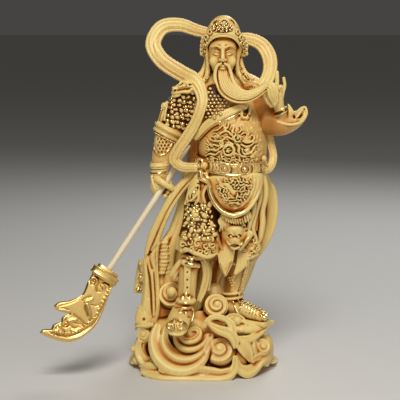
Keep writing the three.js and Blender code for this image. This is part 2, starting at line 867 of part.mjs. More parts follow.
// The halberd lies along one line through the fist, from the tail behind the sash to the blade.
const GRIP = [-21.7, -7.8, 104.8];
const gripPoint = figure.point(...GRIP);
const poleAxis = new THREE.Vector3(-0.537, -0.281, -0.795).normalize(); // from the tail to the blade
const TAIL_ABOVE_GRIP = 28.2;
const poleTail = gripPoint.clone().addScaledVector(poleAxis, -TAIL_ABOVE_GRIP);
const poleRadius = POLE_DIAMETER / 2;

// Turns a geometry built along +Z, with its face towards -Y, onto the pole's line.
function ontoPole(geometry, distance) {
  const across = new THREE.Vector3(...FRONT).projectOnPlane(poleAxis).normalize();
  const side = new THREE.Vector3().crossVectors(across.clone().negate(), poleAxis);
  const basis = new THREE.Matrix4().makeBasis(side, across.clone().negate(), poleAxis);
  const start = poleTail.clone().addScaledVector(poleAxis, distance);
  return geometry.applyMatrix4(basis).translate(start.x, start.y, start.z);
}

function turned(profile, sides) {
  return new THREE.LatheGeometry(
    profile.map(([radius, height]) => new THREE.Vector2(radius, height)),
    sides,
  ).rotateX(Math.PI / 2);
}

const POLE_SIDES = 12;
const poleProfile = (extra) => [
  [0, -extra],
  [poleRadius * 0.25 + extra, -extra],
  [poleRadius * 0.75 + extra, TAIL_TAPER * 0.45],
  [poleRadius + extra, TAIL_TAPER],
  [poleRadius + extra, POLE_LENGTH + extra],
  [0, POLE_LENGTH + extra],
];
const pole = ontoPole(turned(poleProfile(0), POLE_SIDES), 0);
const bore = solid(ontoPole(turned(poleProfile(POLE_CLEARANCE), POLE_SIDES), 0));

// The blade's outline from the collar: +Y runs on along the pole and -X is the cutting edge.
function bladeOutline() {
  const unit = BLADE_LENGTH / 48;
  const along = (outline, spots) =>
    outline.splineThru(spots.map(([x, y]) => new THREE.Vector2(x * unit, y * unit)));
  const neck = COLLAR_WIDTH * 0.385;
  const outline = new THREE.Shape();
  outline.moveTo(neck, 0);
  along(outline, [
    [5.8, 9],
    [4.7, 15.9],
    [8.3, 22.1],
    [13, 26.4],
    [14.2, 29.6],
  ]);
  along(outline, [
    [11.8, 30.8],
    [4.7, 28.4],
  ]);
  along(outline, [
    [6.9, 32.6],
    [6, 34.8],
  ]);
  along(outline, [
    [8.7, 38.2],
    [8.5, 41],
  ]);
  along(outline, [
    [12.2, 43.8],
    [12.4, 46.2],
  ]);
  along(outline, [
    [5.7, 45.3],
    [-4.9, 40.7],
    [-10.9, 27.5],
    [-9.2, 14],
    [-7.2, 4],
  ]);
  outline.lineTo(-neck, 0);
  return outline;
}

function blade() {
  const plate = new THREE.ExtrudeGeometry(bladeOutline(), {
    depth: BLADE_THICKNESS - 2 * BLADE_BEVEL,
    bevelThickness: BLADE_BEVEL,
    bevelSize: BLADE_BEVEL * 0.6,
    bevelOffset: -BLADE_BEVEL * 0.6,
    bevelSegments: 1,
    curveSegments: 2,
  });
  plate.translate(0, 0, BLADE_BEVEL - BLADE_THICKNESS / 2).rotateX(Math.PI / 2);
  const collarAt = POLE_LENGTH - SOCKET_DEPTH;
  const collar = turned(
    [
      [0, 0],
      [0.62, 0],
      [0.7, 0.12],
      [0.7, 0.3],
      [0.94, 0.4],
      [1, 0.6],
      [1, 0.8],
      [0.9, 1],
      [0, 1],
    ],
    12,
  ).scale(COLLAR_WIDTH / 2, COLLAR_THICKNESS / 2, COLLAR_HEIGHT);
  const plateStart = COLLAR_HEIGHT * 0.54;
  return join(
    solid(ontoPole(collar, collarAt)),
    solid(ontoPole(plate.translate(0, 0, plateStart), collarAt)),
  ).subtract(bore);
}

function figureOnClouds() {
  const block = join(
    cloudBase(),
    rightLeg(),
    leftLeg(),
    robes(),
    apron(),
    torso(),
    rightArm(),
    leftArm(),
    head(),
    sash(),
  );
  const CUT = 60; // deep enough to take away all that reaches below the table
  const below = new THREE.BoxGeometry(4 * BASE_WIDTH, 4 * BASE_WIDTH, CUT).translate(0, 0, -CUT / 2);
  return block.subtract(solid(below)).subtract(bore);
}

const boxwood = new THREE.MeshStandardMaterial({ color: 0xe0bd72, roughness: 0.5, metalness: 0 });
const paleWood = new THREE.MeshStandardMaterial({ color: 0xead9b4, roughness: 0.6, metalness: 0 });
const gilt = new THREE.MeshStandardMaterial({ color: 0xd9a63c, roughness: 0.28, metalness: 1 });

function named(name, geometry, material) {
  const mesh = new THREE.Mesh(geometry, material);
  mesh.name = name;
  return mesh;
}

const statue = new THREE.Group();
statue.name = "general_on_clouds";
statue.add(named("figure_on_clouds", geometryOf(figureOnClouds()), boxwood));
statue.add(named("halberd_pole", pole, paleWood));
statue.add(named("halberd_blade", geometryOf(blade()), gilt));

export default statue;
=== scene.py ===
# %% [markdown]
# # A carved boxwood general on clouds
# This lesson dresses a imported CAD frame: the block that holds the figure and its clouds, the pole and
# the blade. The real statuette is cut from one block of wood, so we carve it here as well. A block is a
# grid of distances to the surface, forms are added to it or cut from it, and its skin becomes a mesh.
# All measures are millimetres on the frame's own axes until the moment a mesh is made.

import math
import time

import bpy
import numpy as np
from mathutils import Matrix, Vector


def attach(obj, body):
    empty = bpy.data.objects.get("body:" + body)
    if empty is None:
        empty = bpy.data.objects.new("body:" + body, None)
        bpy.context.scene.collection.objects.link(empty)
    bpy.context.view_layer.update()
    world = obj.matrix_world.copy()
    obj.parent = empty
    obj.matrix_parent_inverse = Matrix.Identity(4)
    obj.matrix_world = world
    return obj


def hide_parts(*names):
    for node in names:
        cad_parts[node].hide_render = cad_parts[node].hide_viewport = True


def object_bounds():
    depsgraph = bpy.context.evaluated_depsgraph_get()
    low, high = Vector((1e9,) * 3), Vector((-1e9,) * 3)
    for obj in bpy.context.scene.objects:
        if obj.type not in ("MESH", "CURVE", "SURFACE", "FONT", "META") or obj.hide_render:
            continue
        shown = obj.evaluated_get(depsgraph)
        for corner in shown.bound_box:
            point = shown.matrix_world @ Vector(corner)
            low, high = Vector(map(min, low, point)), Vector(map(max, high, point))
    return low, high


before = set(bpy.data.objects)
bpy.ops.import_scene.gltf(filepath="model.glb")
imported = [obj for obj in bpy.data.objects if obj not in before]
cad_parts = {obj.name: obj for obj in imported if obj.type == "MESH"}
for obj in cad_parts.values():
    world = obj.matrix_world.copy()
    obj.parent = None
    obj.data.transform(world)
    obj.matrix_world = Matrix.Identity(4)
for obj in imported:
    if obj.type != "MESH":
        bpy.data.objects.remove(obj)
cad_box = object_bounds()
started = time.time()
MM = 0.001
UP = (0, 0, 1)
FRONT = (0, -1, 0)
BACK = (0, 1, 0)
print("CAD box:", [tuple(round(v, 4) for v in corner) for corner in cad_box])

# %% [markdown]
# ## Camera
# The statuette was seen from the front and a little above, from about 70 cm. A long lens keeps its
# proportions. The camera is placed with no aids from the render size.

# %% Camera
CAMERA_HEIGHT = 0.1932
CAMERA_DISTANCE = 0.6932
LOOK_DOWN = 8
SENSOR = 36
FOCAL_IN_PIXELS = 1229
PICTURE = 400

camera_data = bpy.data.cameras.new("camera")
camera_data.sensor_width = SENSOR
camera_data.lens = FOCAL_IN_PIXELS * SENSOR / PICTURE
camera = bpy.data.objects.new("camera", camera_data)
camera.location = (-0.0011, -CAMERA_DISTANCE, CAMERA_HEIGHT)
camera.rotation_euler = (math.radians(90 - LOOK_DOWN), 0, 0)
bpy.context.scene.collection.objects.link(camera)
bpy.context.scene.camera = camera
print("lens", round(camera_data.lens, 1), "mm")

# %% [markdown]
# ## Paths
# Sleeves, ribbons, folds and fingers all follow a path that widens and narrows. A station is a spot with
# a half width and a half thickness. A centripetal Catmull-Rom curve runs through the stations without
# loops, and the same curve drives the CAD solids, so the carving stays where the frame is. Stations are
# kept as a text, one row of numbers for each, because hundreds of brackets would hide them.


# %% Paths
def table(text):
    """Rows of numbers from a text, with a comma between rows."""
    return [[float(value) for value in row.split()] for row in text.split(",")]


def unit(vectors):
    vectors = np.asarray(vectors, float)
    return vectors / np.maximum(np.linalg.norm(vectors, axis=-1, keepdims=True), 1e-9)


def through(points, counts, even=False):
    """A smooth line through points, with counts[i] steps from point i to the next."""
    points = np.asarray(points, float)
    ends = np.vstack([2 * points[0] - points[1], points, 2 * points[-1] - points[-2]])
    line = []
    for i, count in enumerate(counts):
        a, b, c, d = ends[i : i + 4]
        gaps = [1.0] * 3 if even else [max(np.linalg.norm(q - p), 1e-6) ** 0.5
            for p, q in ((a, b), (b, c), (c, d))]
        leave = (b - a) / gaps[0] - (c - a) / (gaps[0] + gaps[1]) + (c - b) / gaps[1]
        arrive = (c - b) / gaps[1] - (d - b) / (gaps[1] + gaps[2]) + (d - c) / gaps[2]
        t = np.linspace(0, 1, count, endpoint=False)[:, None]
        leave, arrive = leave * gaps[1], arrive * gaps[1]
        line.append(
            b + leave * t + (3 * (c - b) - 2 * leave - arrive) * t**2 + (2 * (b - c) + leave + arrive) * t**3
        )
    return np.vstack([*line, points[-1]])


def path_of(stations, face, spacing):
    """Spots, half widths, half thicknesses and facings along the stations."""
    stations = np.asarray(stations, float)
    lengths = np.linalg.norm(np.diff(stations[:, :3], axis=0), axis=1)
    counts = np.maximum(1, np.round(lengths / spacing)).astype(int)
    faces = np.asarray(face, float)
    if faces.ndim == 1:
        faces = np.tile(faces, (len(stations), 1))
    elif len(faces) != len(stations):
        share = np.linspace(0, len(faces) - 1, len(stations))
        faces = np.stack([np.interp(share, range(len(faces)), faces[:, k]) for k in range(3)], 1)
    spots = through(stations[:, :3], counts)
    sizes = np.maximum(through(stations[:, 3:5], counts, True), 0.05)
    return spots, sizes[:, 0], sizes[:, 1], through(faces, counts, True)


def bell(value, centre, width):
    """1 at the centre, and nearly nothing at twice the width from it."""
    return np.exp(-(((value - centre) / width) ** 2))


def ease(low, high, value):
    """0 below low, 1 above high, and a soft step between."""
    t = np.clip((value - low) / (high - low), 0, 1)
    return t * t * (3 - 2 * t)


# %% [markdown]
# ## The block
# Each spot of the grid keeps its distance to the surface, below zero inside the wood. Adding a form
# takes the smaller distance and rounds the seam like a worn chisel cut. A second grid remembers where
# gold leaf goes, and below zero where stain and painted shade go. Only the window round each stroke is
# touched, so a whole figure takes seconds.

# %% The block of wood
FAR = 4.0  # distances are kept up to here
BENCH = 60  # drawings start this far from the middle of the block


class Block:
    def __init__(self, low, high, step):
        self.low, self.step = np.array(low, float), step
        self.counts = np.ceil((np.array(high) - self.low) / step).astype(int) + 1
        self.axes = [(self.low[i] + step * np.arange(self.counts[i])).astype(np.float32) for i in range(3)]
        self.field = np.full(self.counts, FAR, np.float32)
        self.gold = np.zeros(self.counts, np.float32)

    def window(self, low, high, pad):
        """The part of the grid between two corners, and the x, y and z of its spots."""
        first = np.floor((np.asarray(low) - pad - self.low) / self.step).astype(int)
        last = np.ceil((np.asarray(high) + pad - self.low) / self.step).astype(int) + 1
        first, last = np.clip(first, 1, None), np.minimum(last, self.counts - 1)
        if (last <= first).any():
            return None
        part = tuple(slice(a, b) for a, b in zip(first, last))
        return part, np.ix_(*(axis[cut] for axis, cut in zip(self.axes, part)))

    def put(self, part, distance, soft, gilt, carve):
        """Adds a form to the block, or carves it away."""
        field, gold = self.field[part], self.gold[part]
        if carve:
            share = np.clip(0.5 - 0.5 * (field + distance) / soft, 0, 1)
            field += share * (-distance - field) + soft * share * (1 - share)
        else:
            share = np.clip(0.5 + 0.5 * (field - distance) / soft, 0, 1)
            field += share * (distance - field) - soft * share * (1 - share)
        if gilt is not None:
            gold += share * (gilt - gold)

    def follow(self, path, square=1, blunt=0.5, soft=0.6, gilt=0.0, relief=None, wave=None, carve=False):
        """A form along a path. relief and wave take (across, out, along): across and out run from -1 to 1
        and along is in mm. relief raises the surface and wave moves the middle of the sheet outwards."""
        spots, wides, thicks, outs = path
        ahead = unit(np.gradient(spots, axis=0))
        outs = unit(outs - (outs * ahead).sum(1, keepdims=True) * ahead)
        sides = np.cross(ahead, outs)
        chords = np.diff(spots, axis=0)
        lengths = np.linalg.norm(chords, axis=1)
        gone = np.concatenate([[0], np.cumsum(lengths)])
        power = 2 / square
        pad = soft + 2 * self.step + (0.0 if relief is None and wave is None else 2.0)
        reach = np.abs(sides) * wides[:, None] + np.abs(outs) * thicks[:, None]
        if square >= 1:
            reach = np.hypot(sides * wides[:, None], outs * thicks[:, None])
        reach[[0, -1]] += blunt * thicks[[0, -1], None]
        whole = self.window((spots - reach).min(0), (spots + reach).max(0), pad)
        if whole is None:
            return
        first = np.array([cut.start for cut in whole[0]])
        nearest = np.full([cut.stop - cut.start for cut in whole[0]], 2 * FAR, np.float32)
        leaves = np.zeros_like(nearest) if callable(gilt) else gilt
        for i, length in enumerate(lengths):
            ends = slice(i, i + 2)
            found = self.window((spots[ends] - reach[ends]).min(0), (spots[ends] + reach[ends]).max(0), pad)
            if found is None:
                continue
            part, (x, y, z) = found
            px, py, pz = (v - np.float32(c) for v, c in zip((x, y, z), spots[i]))
            rx, ry, rz = (v - np.float32(c) for v, c in zip((x, y, z), spots[i + 1]))
            start, stop = ahead[i].astype(np.float32), ahead[i + 1].astype(np.float32)
            entered = px * start[0] + py * start[1] + pz * start[2]
            left = rx * stop[0] + ry * stop[1] + rz * stop[2]
            share = np.clip(entered / np.maximum(entered - left, 1e-4), 0, 1)
            at_start, at_end = i == 0, i == len(lengths) - 1
            owned = ((entered >= -1e-4) | at_start) & ((left <= 1e-4) | at_end)
            past = np.minimum(entered, 0) * at_start + np.maximum(left, 0) * at_end

            def faded(pair):
                start, end = np.float32(pair[0]), np.float32(pair[1])
                return start + share * (end - start)

            qx, qy, qz = (p - share * np.float32(chords[i, k]) for k, p in enumerate((px, py, pz)))
            width, thick = faded(wides[ends]), faded(thicks[ends])
            across = qx * faded(sides[ends, 0]) + qy * faded(sides[ends, 1]) + qz * faded(sides[ends, 2])
            across = across / width
            above = qx * faded(outs[ends, 0]) + qy * faded(outs[ends, 1]) + qz * faded(outs[ends, 2])
            along = gone[i] + share * length
            if wave is not None:
                above = above - wave(np.clip(across, -1.5, 1.5), above / thick, along)
            outward = above / thick
            cap = np.where(entered < 0, np.float32(thicks[0] * blunt), np.float32(thicks[-1] * blunt))
            beyond = past / cap
            if power == 2:
                size = np.sqrt(across**2 + outward**2 + beyond**2) + 1e-6
                slope = np.sqrt((across / width) ** 2 + (outward / thick) ** 2 + (beyond / cap) ** 2) + 1e-6
                distance = size * (size - 1) / slope
            else:
                a, b, c = np.abs(across) + 1e-6, np.abs(outward) + 1e-6, np.abs(beyond)
                size = (a**power + b**power + c**power) ** (1 / power)
                slope = np.sqrt(
                    (a ** (power - 1) / width) ** 2
                    + (b ** (power - 1) / thick) ** 2
                    + (c ** (power - 1) / cap) ** 2
                )
                distance = (size - 1) * size ** (power - 1) / (slope + 1e-6)
            if relief is not None:
                distance = distance - relief(np.clip(across, -1.3, 1.3), outward, along)
            here = tuple(slice(cut.start - f, cut.stop - f) for cut, f in zip(part, first))
            if callable(gilt):
                closer = owned & (distance < nearest[here])
                leaves[here] = np.where(closer, gilt(across, outward, along), leaves[here])
            nearest[here] = np.where(owned, np.minimum(nearest[here], distance), nearest[here])
        self.put(whole[0], nearest, soft, leaves, carve)

    def sweep(self, stations, face=FRONT, spacing=None, **look):
        """A form through stations [x, y, z, half width, half thickness], or through each table of a text,
        with a slash between tables. face is where its broad side looks."""
        if isinstance(stations, str):
            for rows in stations.split("/"):
                self.sweep(table(rows), face, spacing, **look)
            return
        widest = max(max(station[3:5]) for station in stations)
        self.follow(path_of(stations, face, spacing or min(max(0.3 * widest, 0.8), 3.5)), **look)

    def blobs(self, rows, **look):
        """One egg-shaped form for each row of a text: its middle, its half sizes and, if any, its turn."""
        for row in table(rows):
            self.blob(row[:3], row[3:6], row[6:] or (0, 0, 0), **look)

    def blob(self, centre, sizes, turn=(0, 0, 0), soft=0.6, gilt=0.0, relief=None, carve=False):
        """An egg-shaped form with three half sizes, turned about x, y and z in degrees."""
        a, b, c = (math.radians(v) for v in turn)
        about_x = np.array([[1, 0, 0], [0, math.cos(a), -math.sin(a)], [0, math.sin(a), math.cos(a)]])
        about_y = np.array([[math.cos(b), 0, math.sin(b)], [0, 1, 0], [-math.sin(b), 0, math.cos(b)]])
        about_z = np.array([[math.cos(c), -math.sin(c), 0], [math.sin(c), math.cos(c), 0], [0, 0, 1]])
        basis = (about_x @ about_y @ about_z).astype(np.float32)
        reach = np.sqrt(((basis * np.array(sizes)) ** 2).sum(1))
        pad = soft + 2 * self.step + (0 if relief is None else 2)
        found = self.window(np.array(centre) - reach, np.array(centre) + reach, pad)
        if found is None:
            return
        part, (x, y, z) = found
        x, y, z = x - np.float32(centre[0]), y - np.float32(centre[1]), z - np.float32(centre[2])
        a, b, c = ((basis[0, k] * x + basis[1, k] * y + basis[2, k] * z) / np.float32(sizes[k])
            for k in range(3))
        size = np.sqrt(a * a + b * b + c * c) + 1e-6
        slope = np.sqrt((a / sizes[0]) ** 2 + (b / sizes[1]) ** 2 + (c / sizes[2]) ** 2) + 1e-6
        distance = size * (size - 1) / slope
        if relief is not None:
            distance = distance - relief(a, b, c)
        self.put(part, distance, soft, gilt, carve)

    def sample(self, grid, spots):
        """The grid's value at any spots, blended from the eight nearest."""
        place = (np.asarray(spots, float) - self.low) / self.step
        place = np.clip(place, 0, np.array(grid.shape) - 1.001)
        first = place.astype(int)
        part = (place - first).astype(np.float32)
        total = np.zeros(len(place), np.float32)
        for corner in np.ndindex(2, 2, 2):
            share = np.prod([part[:, k] if corner[k] else 1 - part[:, k] for k in range(3)], axis=0)
            total += share * grid[first[:, 0] + corner[0], first[:, 1] + corner[1], first[:, 2] + corner[2]]
        return total

    def land(self, spots, way, reach=76.0):
        """Where lines from the spots, going one way, first meet the wood, and how the wood faces there."""
        spots, way = np.asarray(spots, float), unit(way)
        ways = np.broadcast_to(way, spots.shape)
        steps = np.arange(0, reach, 0.7 * self.step)
        walk = (spots[:, None] + ways[:, None] * steps[None, :, None]).reshape(-1, 3)
        depth = self.sample(self.field, walk).reshape(len(spots), -1)
        inside = depth < 0
        hit = np.where(inside.any(1), inside.argmax(1), depth.argmin(1))
        hit = np.maximum(hit, 1)
        rows = np.arange(len(spots))
        before, after = depth[rows, hit - 1], depth[rows, hit]
        back = np.clip(after / np.minimum(after - before, -1e-6), 0, 1)
        found = spots + ways * (steps[hit] - back * 0.7 * self.step)[:, None]
        turn = 1.5 * self.step * np.eye(3)
        facing = np.stack(
            [self.sample(self.field, found + t) - self.sample(self.field, found - t) for t in turn], 1
        )
        return found, unit(facing - 1e-3 * ways), inside.any(1)


print("block ready")

# %% [markdown]
# ## Strokes and rolls
# Low relief is drawn on the wood as with a pen: each stroke is a flat drawing that is projected onto
# the surface and raised or cut. A roll is the cloud motif of the base and of the armour, a winding
# whose rim stands proud of a hollow floor, like a ribbon rolled up.


# %% Strokes and rolls
def stroke(
    block, drawing, origin, right, above, way, height=0.5, lift=0.15, gilt=None, carve=False, trench=0.0, **look
):
    """Draws [a, b, half width, height share] stations in a plane and lays them on the wood, going way.
    trench sinks the ground on both sides of the stroke. A stroke that misses the wood is left out."""
    drawing = np.asarray(drawing, float)
    lengths = np.linalg.norm(np.diff(drawing[:, :2], axis=0), axis=1)
    line = through(drawing, np.maximum(1, np.round(lengths / 0.7)).astype(int))
    aside, upward = line[:, :1] * np.asarray(right, float), line[:, 1:2] * np.asarray(above, float)
    starts = np.asarray(origin, float) + aside + upward
    found, facing, hit = block.land(starts, way)
    jump = np.linalg.norm(np.diff(found, axis=0), axis=1)
    if not hit.all() or jump.max() > 3.5:
        return
    facing = unit(facing + 0.7 * -unit(way))
    high = np.maximum(height * line[:, 3], 0.08)
    wide = np.maximum(line[:, 2], 0.15)
    if trench:
        block.follow((found, wide + 0.55, 0.3 + trench + 0 * high, facing), gilt=None, carve=True, soft=0.4)
    found = found + facing * (0 * high if carve else lift * high)[:, None]
    block.follow((found, wide, high, facing), gilt=gilt, carve=carve, **look)


def curl(centre, radius, turns=1.2, hand=1, start=0.0, wide=0.5, ending=0.35, count=None):
    """The stations of a flat spiral that winds in to its middle, for stroke."""
    count = count or max(8, int(10 * turns))
    share = np.linspace(0, 1, count)
    angle = start + hand * turns * 2 * math.pi * share
    reach = radius * (1 - (1 - ending) * share)
    fade = wide * (1 - 0.25 * share)
    return [[centre[0] + r * math.cos(t), centre[1] + r * math.sin(t), w, 1]
        for r, t, w in zip(reach, angle, fade)]


def roll(
    block, centre, radius, way, depth=1.0, hand=1, start=0.0, pitch=0.36, rise=0.0, lip=0.13, dome=0.25,
    soft=0.8, knob=0.16, flare=0.0, gilt=0.0,
):
    """A rolled cloud. Its end faces way, and is wound into a spiral whose rims stand above their floors.
    rise lifts each winding above the last, and flare widens the drum towards its back."""
    out = unit(way)
    side = unit(np.cross(UP, out)) * hand
    top = np.cross(out, side) * hand
    reach = radius * (1 + max(flare, 0) * depth) * 1.05
    height = radius * (dome + rise / pitch + lip + 0.1)
    ends = np.array([np.array(centre) + out * height, np.array(centre) - out * radius * depth])
    spread = reach * np.sqrt(1 - out**2)
    found = block.window((ends - spread).min(0), (ends + spread).max(0), soft + 2 * block.step)
    if found is None:
        return
    part, (x, y, z) = found
    px, py, pz = (v - np.float32(c) for v, c in zip((x, y, z), centre))
    a = px * np.float32(side[0]) + py * np.float32(side[1]) + pz * np.float32(side[2])
    b = px * np.float32(top[0]) + py * np.float32(top[1]) + pz * np.float32(top[2])
    h = px * np.float32(out[0]) + py * np.float32(out[1]) + pz * np.float32(out[2])
    rho = np.sqrt(a * a + b * b) / radius
    angle = (np.arctan2(b, a) - start) / (2 * math.pi)
    wound = (1 - rho) / pitch + angle
    phase = wound - np.floor(wound)
    floor = phase**0.75 * (1 - ease(0.78, 1.0, phase))
    inner = ease(knob, knob + 0.18, rho)
    surface = radius * (dome * (1 - rho**2) + rise / pitch * (1 - rho) - lip * 1.35 * floor * inner)
    face = (h - surface) * 0.8
    wall = (rho - 1 + flare * np.minimum(h, 0) / radius - 0.05 * np.sin(2 * math.pi * angle)) * radius
    blend = 0.12 * radius
    share = np.clip(0.5 - 0.5 * (wall - face) / blend, 0, 1)
    distance = wall + share * (face - wall) + blend * share * (1 - share)
    distance = np.maximum(distance, -depth * radius - h)
    block.put(part, distance, soft, gilt, False)


print("strokes ready")

# %% [markdown]
# ## From block to mesh
# The skin is made with surface nets: one point in every grid cell that the surface crosses, at the mean
# of its crossings, and one quad across every grid edge that passes through it. Each point also learns
# its gilding, stain and painted shade, and how deep it lies in a hollow, at two scales. The materials use
# those as masks: dirt and old wax stay in the hollows of a real carving and hands polish what stands
# proud, and the same masks also paint shade into the hollows and a highlight on what stands proud.

# %% Skin of the block
CORNERS = np.array(list(np.ndindex(2, 2, 2)))
EDGES = [(a, b) for a in range(8) for b in range(a + 1, 8) if abs(CORNERS[a] - CORNERS[b]).sum() == 1]


def blurred(grid, reach):
    """The grid's mean over a small box, taken twice, which is close to a soft round brush."""
    for _ in range(2):
        for axis in range(3):
            total = np.cumsum(np.pad(grid, [(reach + 1, reach) if k == axis else (0, 0) for k in range(3)],
                "edge"), axis, dtype=np.float32)
            length = grid.shape[axis]
            far = np.take(total, range(2 * reach + 1, 2 * reach + 1 + length), axis)
            near = np.take(total, range(0, length), axis)
            grid = (far - near) / (2 * reach + 1)
    return grid


def skin(block):
    """Points in mm and quads of the block's surface."""
    inside = block.field < 0
    cells = tuple(n - 1 for n in inside.shape)
    filled = np.zeros(cells, np.uint8)
    views = [tuple(slice(c, c + n) for c, n in zip(corner, cells)) for corner in CORNERS]
    for view in views:
        filled += inside[view]
    active = np.argwhere((filled > 0) & (filled < 8))
    values = np.stack([block.field[view][tuple(active.T)] for view in views], 1)
    total, hits = np.zeros((len(active), 3)), np.zeros(len(active))
    for a, b in EDGES:
        crossed = (values[:, a] < 0) != (values[:, b] < 0)
        share = np.where(crossed, values[:, a] / np.where(crossed, values[:, a] - values[:, b], 1), 0)
        total += crossed[:, None] * (CORNERS[a] + share[:, None] * (CORNERS[b] - CORNERS[a]))
        hits += crossed
    points = block.low + block.step * (active + total / hits[:, None])
    number = np.full(cells, -1, np.int32)
    number[tuple(active.T)] = np.arange(len(active))
    quads = []
    for axis in range(3):
        ahead = tuple(slice(1, None) if k == axis else slice(None) for k in range(3))
        behind = tuple(slice(None, -1) if k == axis else slice(None) for k in range(3))
        edges = np.argwhere(inside[ahead] != inside[behind])
        u, v = [(axis + 1) % 3, (axis + 2) % 3]
        kept = (edges[:, u] > 0) & (edges[:, v] > 0) & (edges[:, u] < cells[u]) & (edges[:, v] < cells[v])
        edges = edges[kept]
        corners = []
        for du, dv in ((1, 1), (0, 1), (0, 0), (1, 0)):
            spot = edges.copy()
            spot[:, u] -= du
            spot[:, v] -= dv
            corners.append(number[tuple(spot.T)])
        quad = np.stack(corners, 1)
        outward = inside[tuple(edges.T)]
        quads.append(np.where(outward[:, None], quad, quad[:, ::-1]))
    return points, np.vstack(quads)


def mesh_of(name, points, quads, **values):
    """A smooth shaded mesh in metres from points in mm, with one value per point for each name given."""
    mesh = bpy.data.meshes.new(name)
    mesh.vertices.add(len(points))
    mesh.vertices.foreach_set("co", (points * MM).astype(np.float32).ravel())
    mesh.loops.add(quads.size)
    mesh.loops.foreach_set("vertex_index", quads.astype(np.int32).ravel())
    mesh.polygons.add(len(quads))
    mesh.polygons.foreach_set("loop_start", np.arange(0, quads.size, quads.shape[1], dtype=np.int32))
    mesh.polygons.foreach_set("use_smooth", np.ones(len(quads), bool))
    for key, value in values.items():
        layer = mesh.attributes.new(key, "FLOAT", "POINT")
        layer.data.foreach_set("value", value.astype(np.float32))
    mesh.update(calc_edges=True)
    mesh.validate()
    return mesh


def relaxed(points, quads, times=1):
    """Takes the stair steps of the grid out of the skin without shrinking it."""
    pairs = np.vstack([quads[:, [k, (k + 1) % 4]] for k in range(4)])
    count = np.bincount(pairs[:, 0], minlength=len(points)) + np.bincount(pairs[:, 1], minlength=len(points))
    for step in [0.5, -0.5] * times:
        mean = np.stack(
            [
                np.bincount(pairs[:, 0], points[pairs[:, 1], k], len(points))
                + np.bincount(pairs[:, 1], points[pairs[:, 0], k], len(points))
                for k in range(3)
            ],
            1,
        )
        points = points + step * (mean / np.maximum(count, 1)[:, None] - points)
    return points


def thinned(points, quads, most):
    """The same skin with fewer faces where it is flat, in mm, as points and triangles."""
    if 2 * len(quads) <= most:
        return points, np.vstack([quads[:, [0, 1, 2]], quads[:, [0, 2, 3]]])
    rough = bpy.data.objects.new("rough", mesh_of("rough", points, quads))
    bpy.context.scene.collection.objects.link(rough)
    thin = rough.modifiers.new("thin", "DECIMATE")
    thin.ratio = most / (2 * len(quads))
    thin.use_collapse_triangulate = True
    seen = rough.evaluated_get(bpy.context.evaluated_depsgraph_get())
    fine = bpy.data.meshes.new_from_object(seen)
    places, corners = np.empty(3 * len(fine.vertices)), np.empty(3 * len(fine.polygons), int)
    fine.vertices.foreach_get("co", places)
    fine.loops.foreach_get("vertex_index", corners)
    first = rough.data
    bpy.data.objects.remove(rough)
    bpy.data.meshes.remove(first)
    bpy.data.meshes.remove(fine)
    return places.reshape(-1, 3) / MM, corners.reshape(-1, 3)


def dress(name, mesh, node="figure_on_clouds", part="boxwood"):
    """The mesh as a finished piece that rides on the frame, with its CAD solid hidden."""
    piece = bpy.data.objects.new(name, mesh)
    bpy.context.scene.collection.objects.link(piece)
    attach(piece, "root")
    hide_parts(node)


def carved(name, block, material, most, fine=1.2, broad=4.0, place=None, **stands_for):
    """The block's skin as a finished piece of at most so many triangles. fine and broad are the reaches in
    mm at which hollows are felt. place turns spots of a block that was worked on its own bench into spots
    of the frame."""
    block.field[[0, -1]] = block.field[:, [0, -1]] = FAR
    block.field[:, :, [0, -1]] = FAR
    points, quads = skin(block)
    found = 2 * len(quads)
    points, faces = thinned(relaxed(points, quads), quads, most)
    wood = np.clip(0.5 - block.field / block.step, 0, 1)
    near = block.sample(blurred(wood, max(1, round(fine / block.step))), points)
    wide = block.sample(blurred(wood, max(2, round(broad / block.step))), points)
    # gold leaf above zero, stain and painted shade below it
    leaf = block.sample(block.gold, points)
    points = points if place is None else place(points)
    # nothing may stand out of the frame's own box
    points = np.clip(points, np.array(cad_box[0]) / MM, np.array(cad_box[1]) / MM)
    mesh = mesh_of(name, points, faces, hollow=near, deep=wide, gilt=np.clip(leaf, -1, 1))
    mesh.materials.append(material)
    dress(name, mesh, **stands_for)
    print(f"{name}: {found} triangles thinned to {len(faces)}, {time.time() - started:.0f} s")


# %% [markdown]
# ## Wood, patina, painted shade and gold leaf
# Boxwood is pale yellow and very fine, so its grain is only a faint streak. What gives a carving its
# depth is the patina together with painted shade: honey where the hand reaches, red-brown where it does
# not, and a pale painted highlight on what stands proud. Gold leaf is laid on the armour's rims, and it is
# worn at its borders. The streaks and the patina with its painted shade are shader node groups, because
# the figure and the pole share them. They hand out colours and heights only.


# %% Shader groups
def new_group(name, inputs, outputs):
    group = bpy.data.node_groups.new(name, "ShaderNodeTree")
    for label, kind, value in inputs:
        socket = group.interface.new_socket(label, in_out="INPUT", socket_type=kind)
        socket.default_value = value
    for label, kind in outputs:
        group.interface.new_socket(label, in_out="OUTPUT", socket_type=kind)
    return group, group.nodes.new("NodeGroupInput"), group.nodes.new("NodeGroupOutput")


def join(tree, kind, inputs, **settings):
    """Adds a node. Each input is a value or another node's output."""
    node = tree.nodes.new(kind)
    for key, value in settings.items():
        setattr(node, key, value)
    for key, value in inputs.items():
        if isinstance(value, bpy.types.NodeSocket):
            tree.links.new(value, node.inputs[key])
        else:
            node.inputs[key].default_value = value
    return node


def blend_colours(tree, share, first, second):
    """Goes from the first colour to the second. The colour sockets of this node are numbers 6, 7 and 2."""
    return join(tree, "ShaderNodeMix", {0: share, 6: first, 7: second}, data_type="RGBA").outputs[2]


def between(tree, value, low, high, start=0.0, end=1.0):
    """Maps a value smoothly from one range to another."""
    inputs = {"Value": value, "From Min": low, "From Max": high, "To Min": start, "To Max": end}
    return join(tree, "ShaderNodeMapRange", inputs, interpolation_type="SMOOTHSTEP").outputs["Result"]


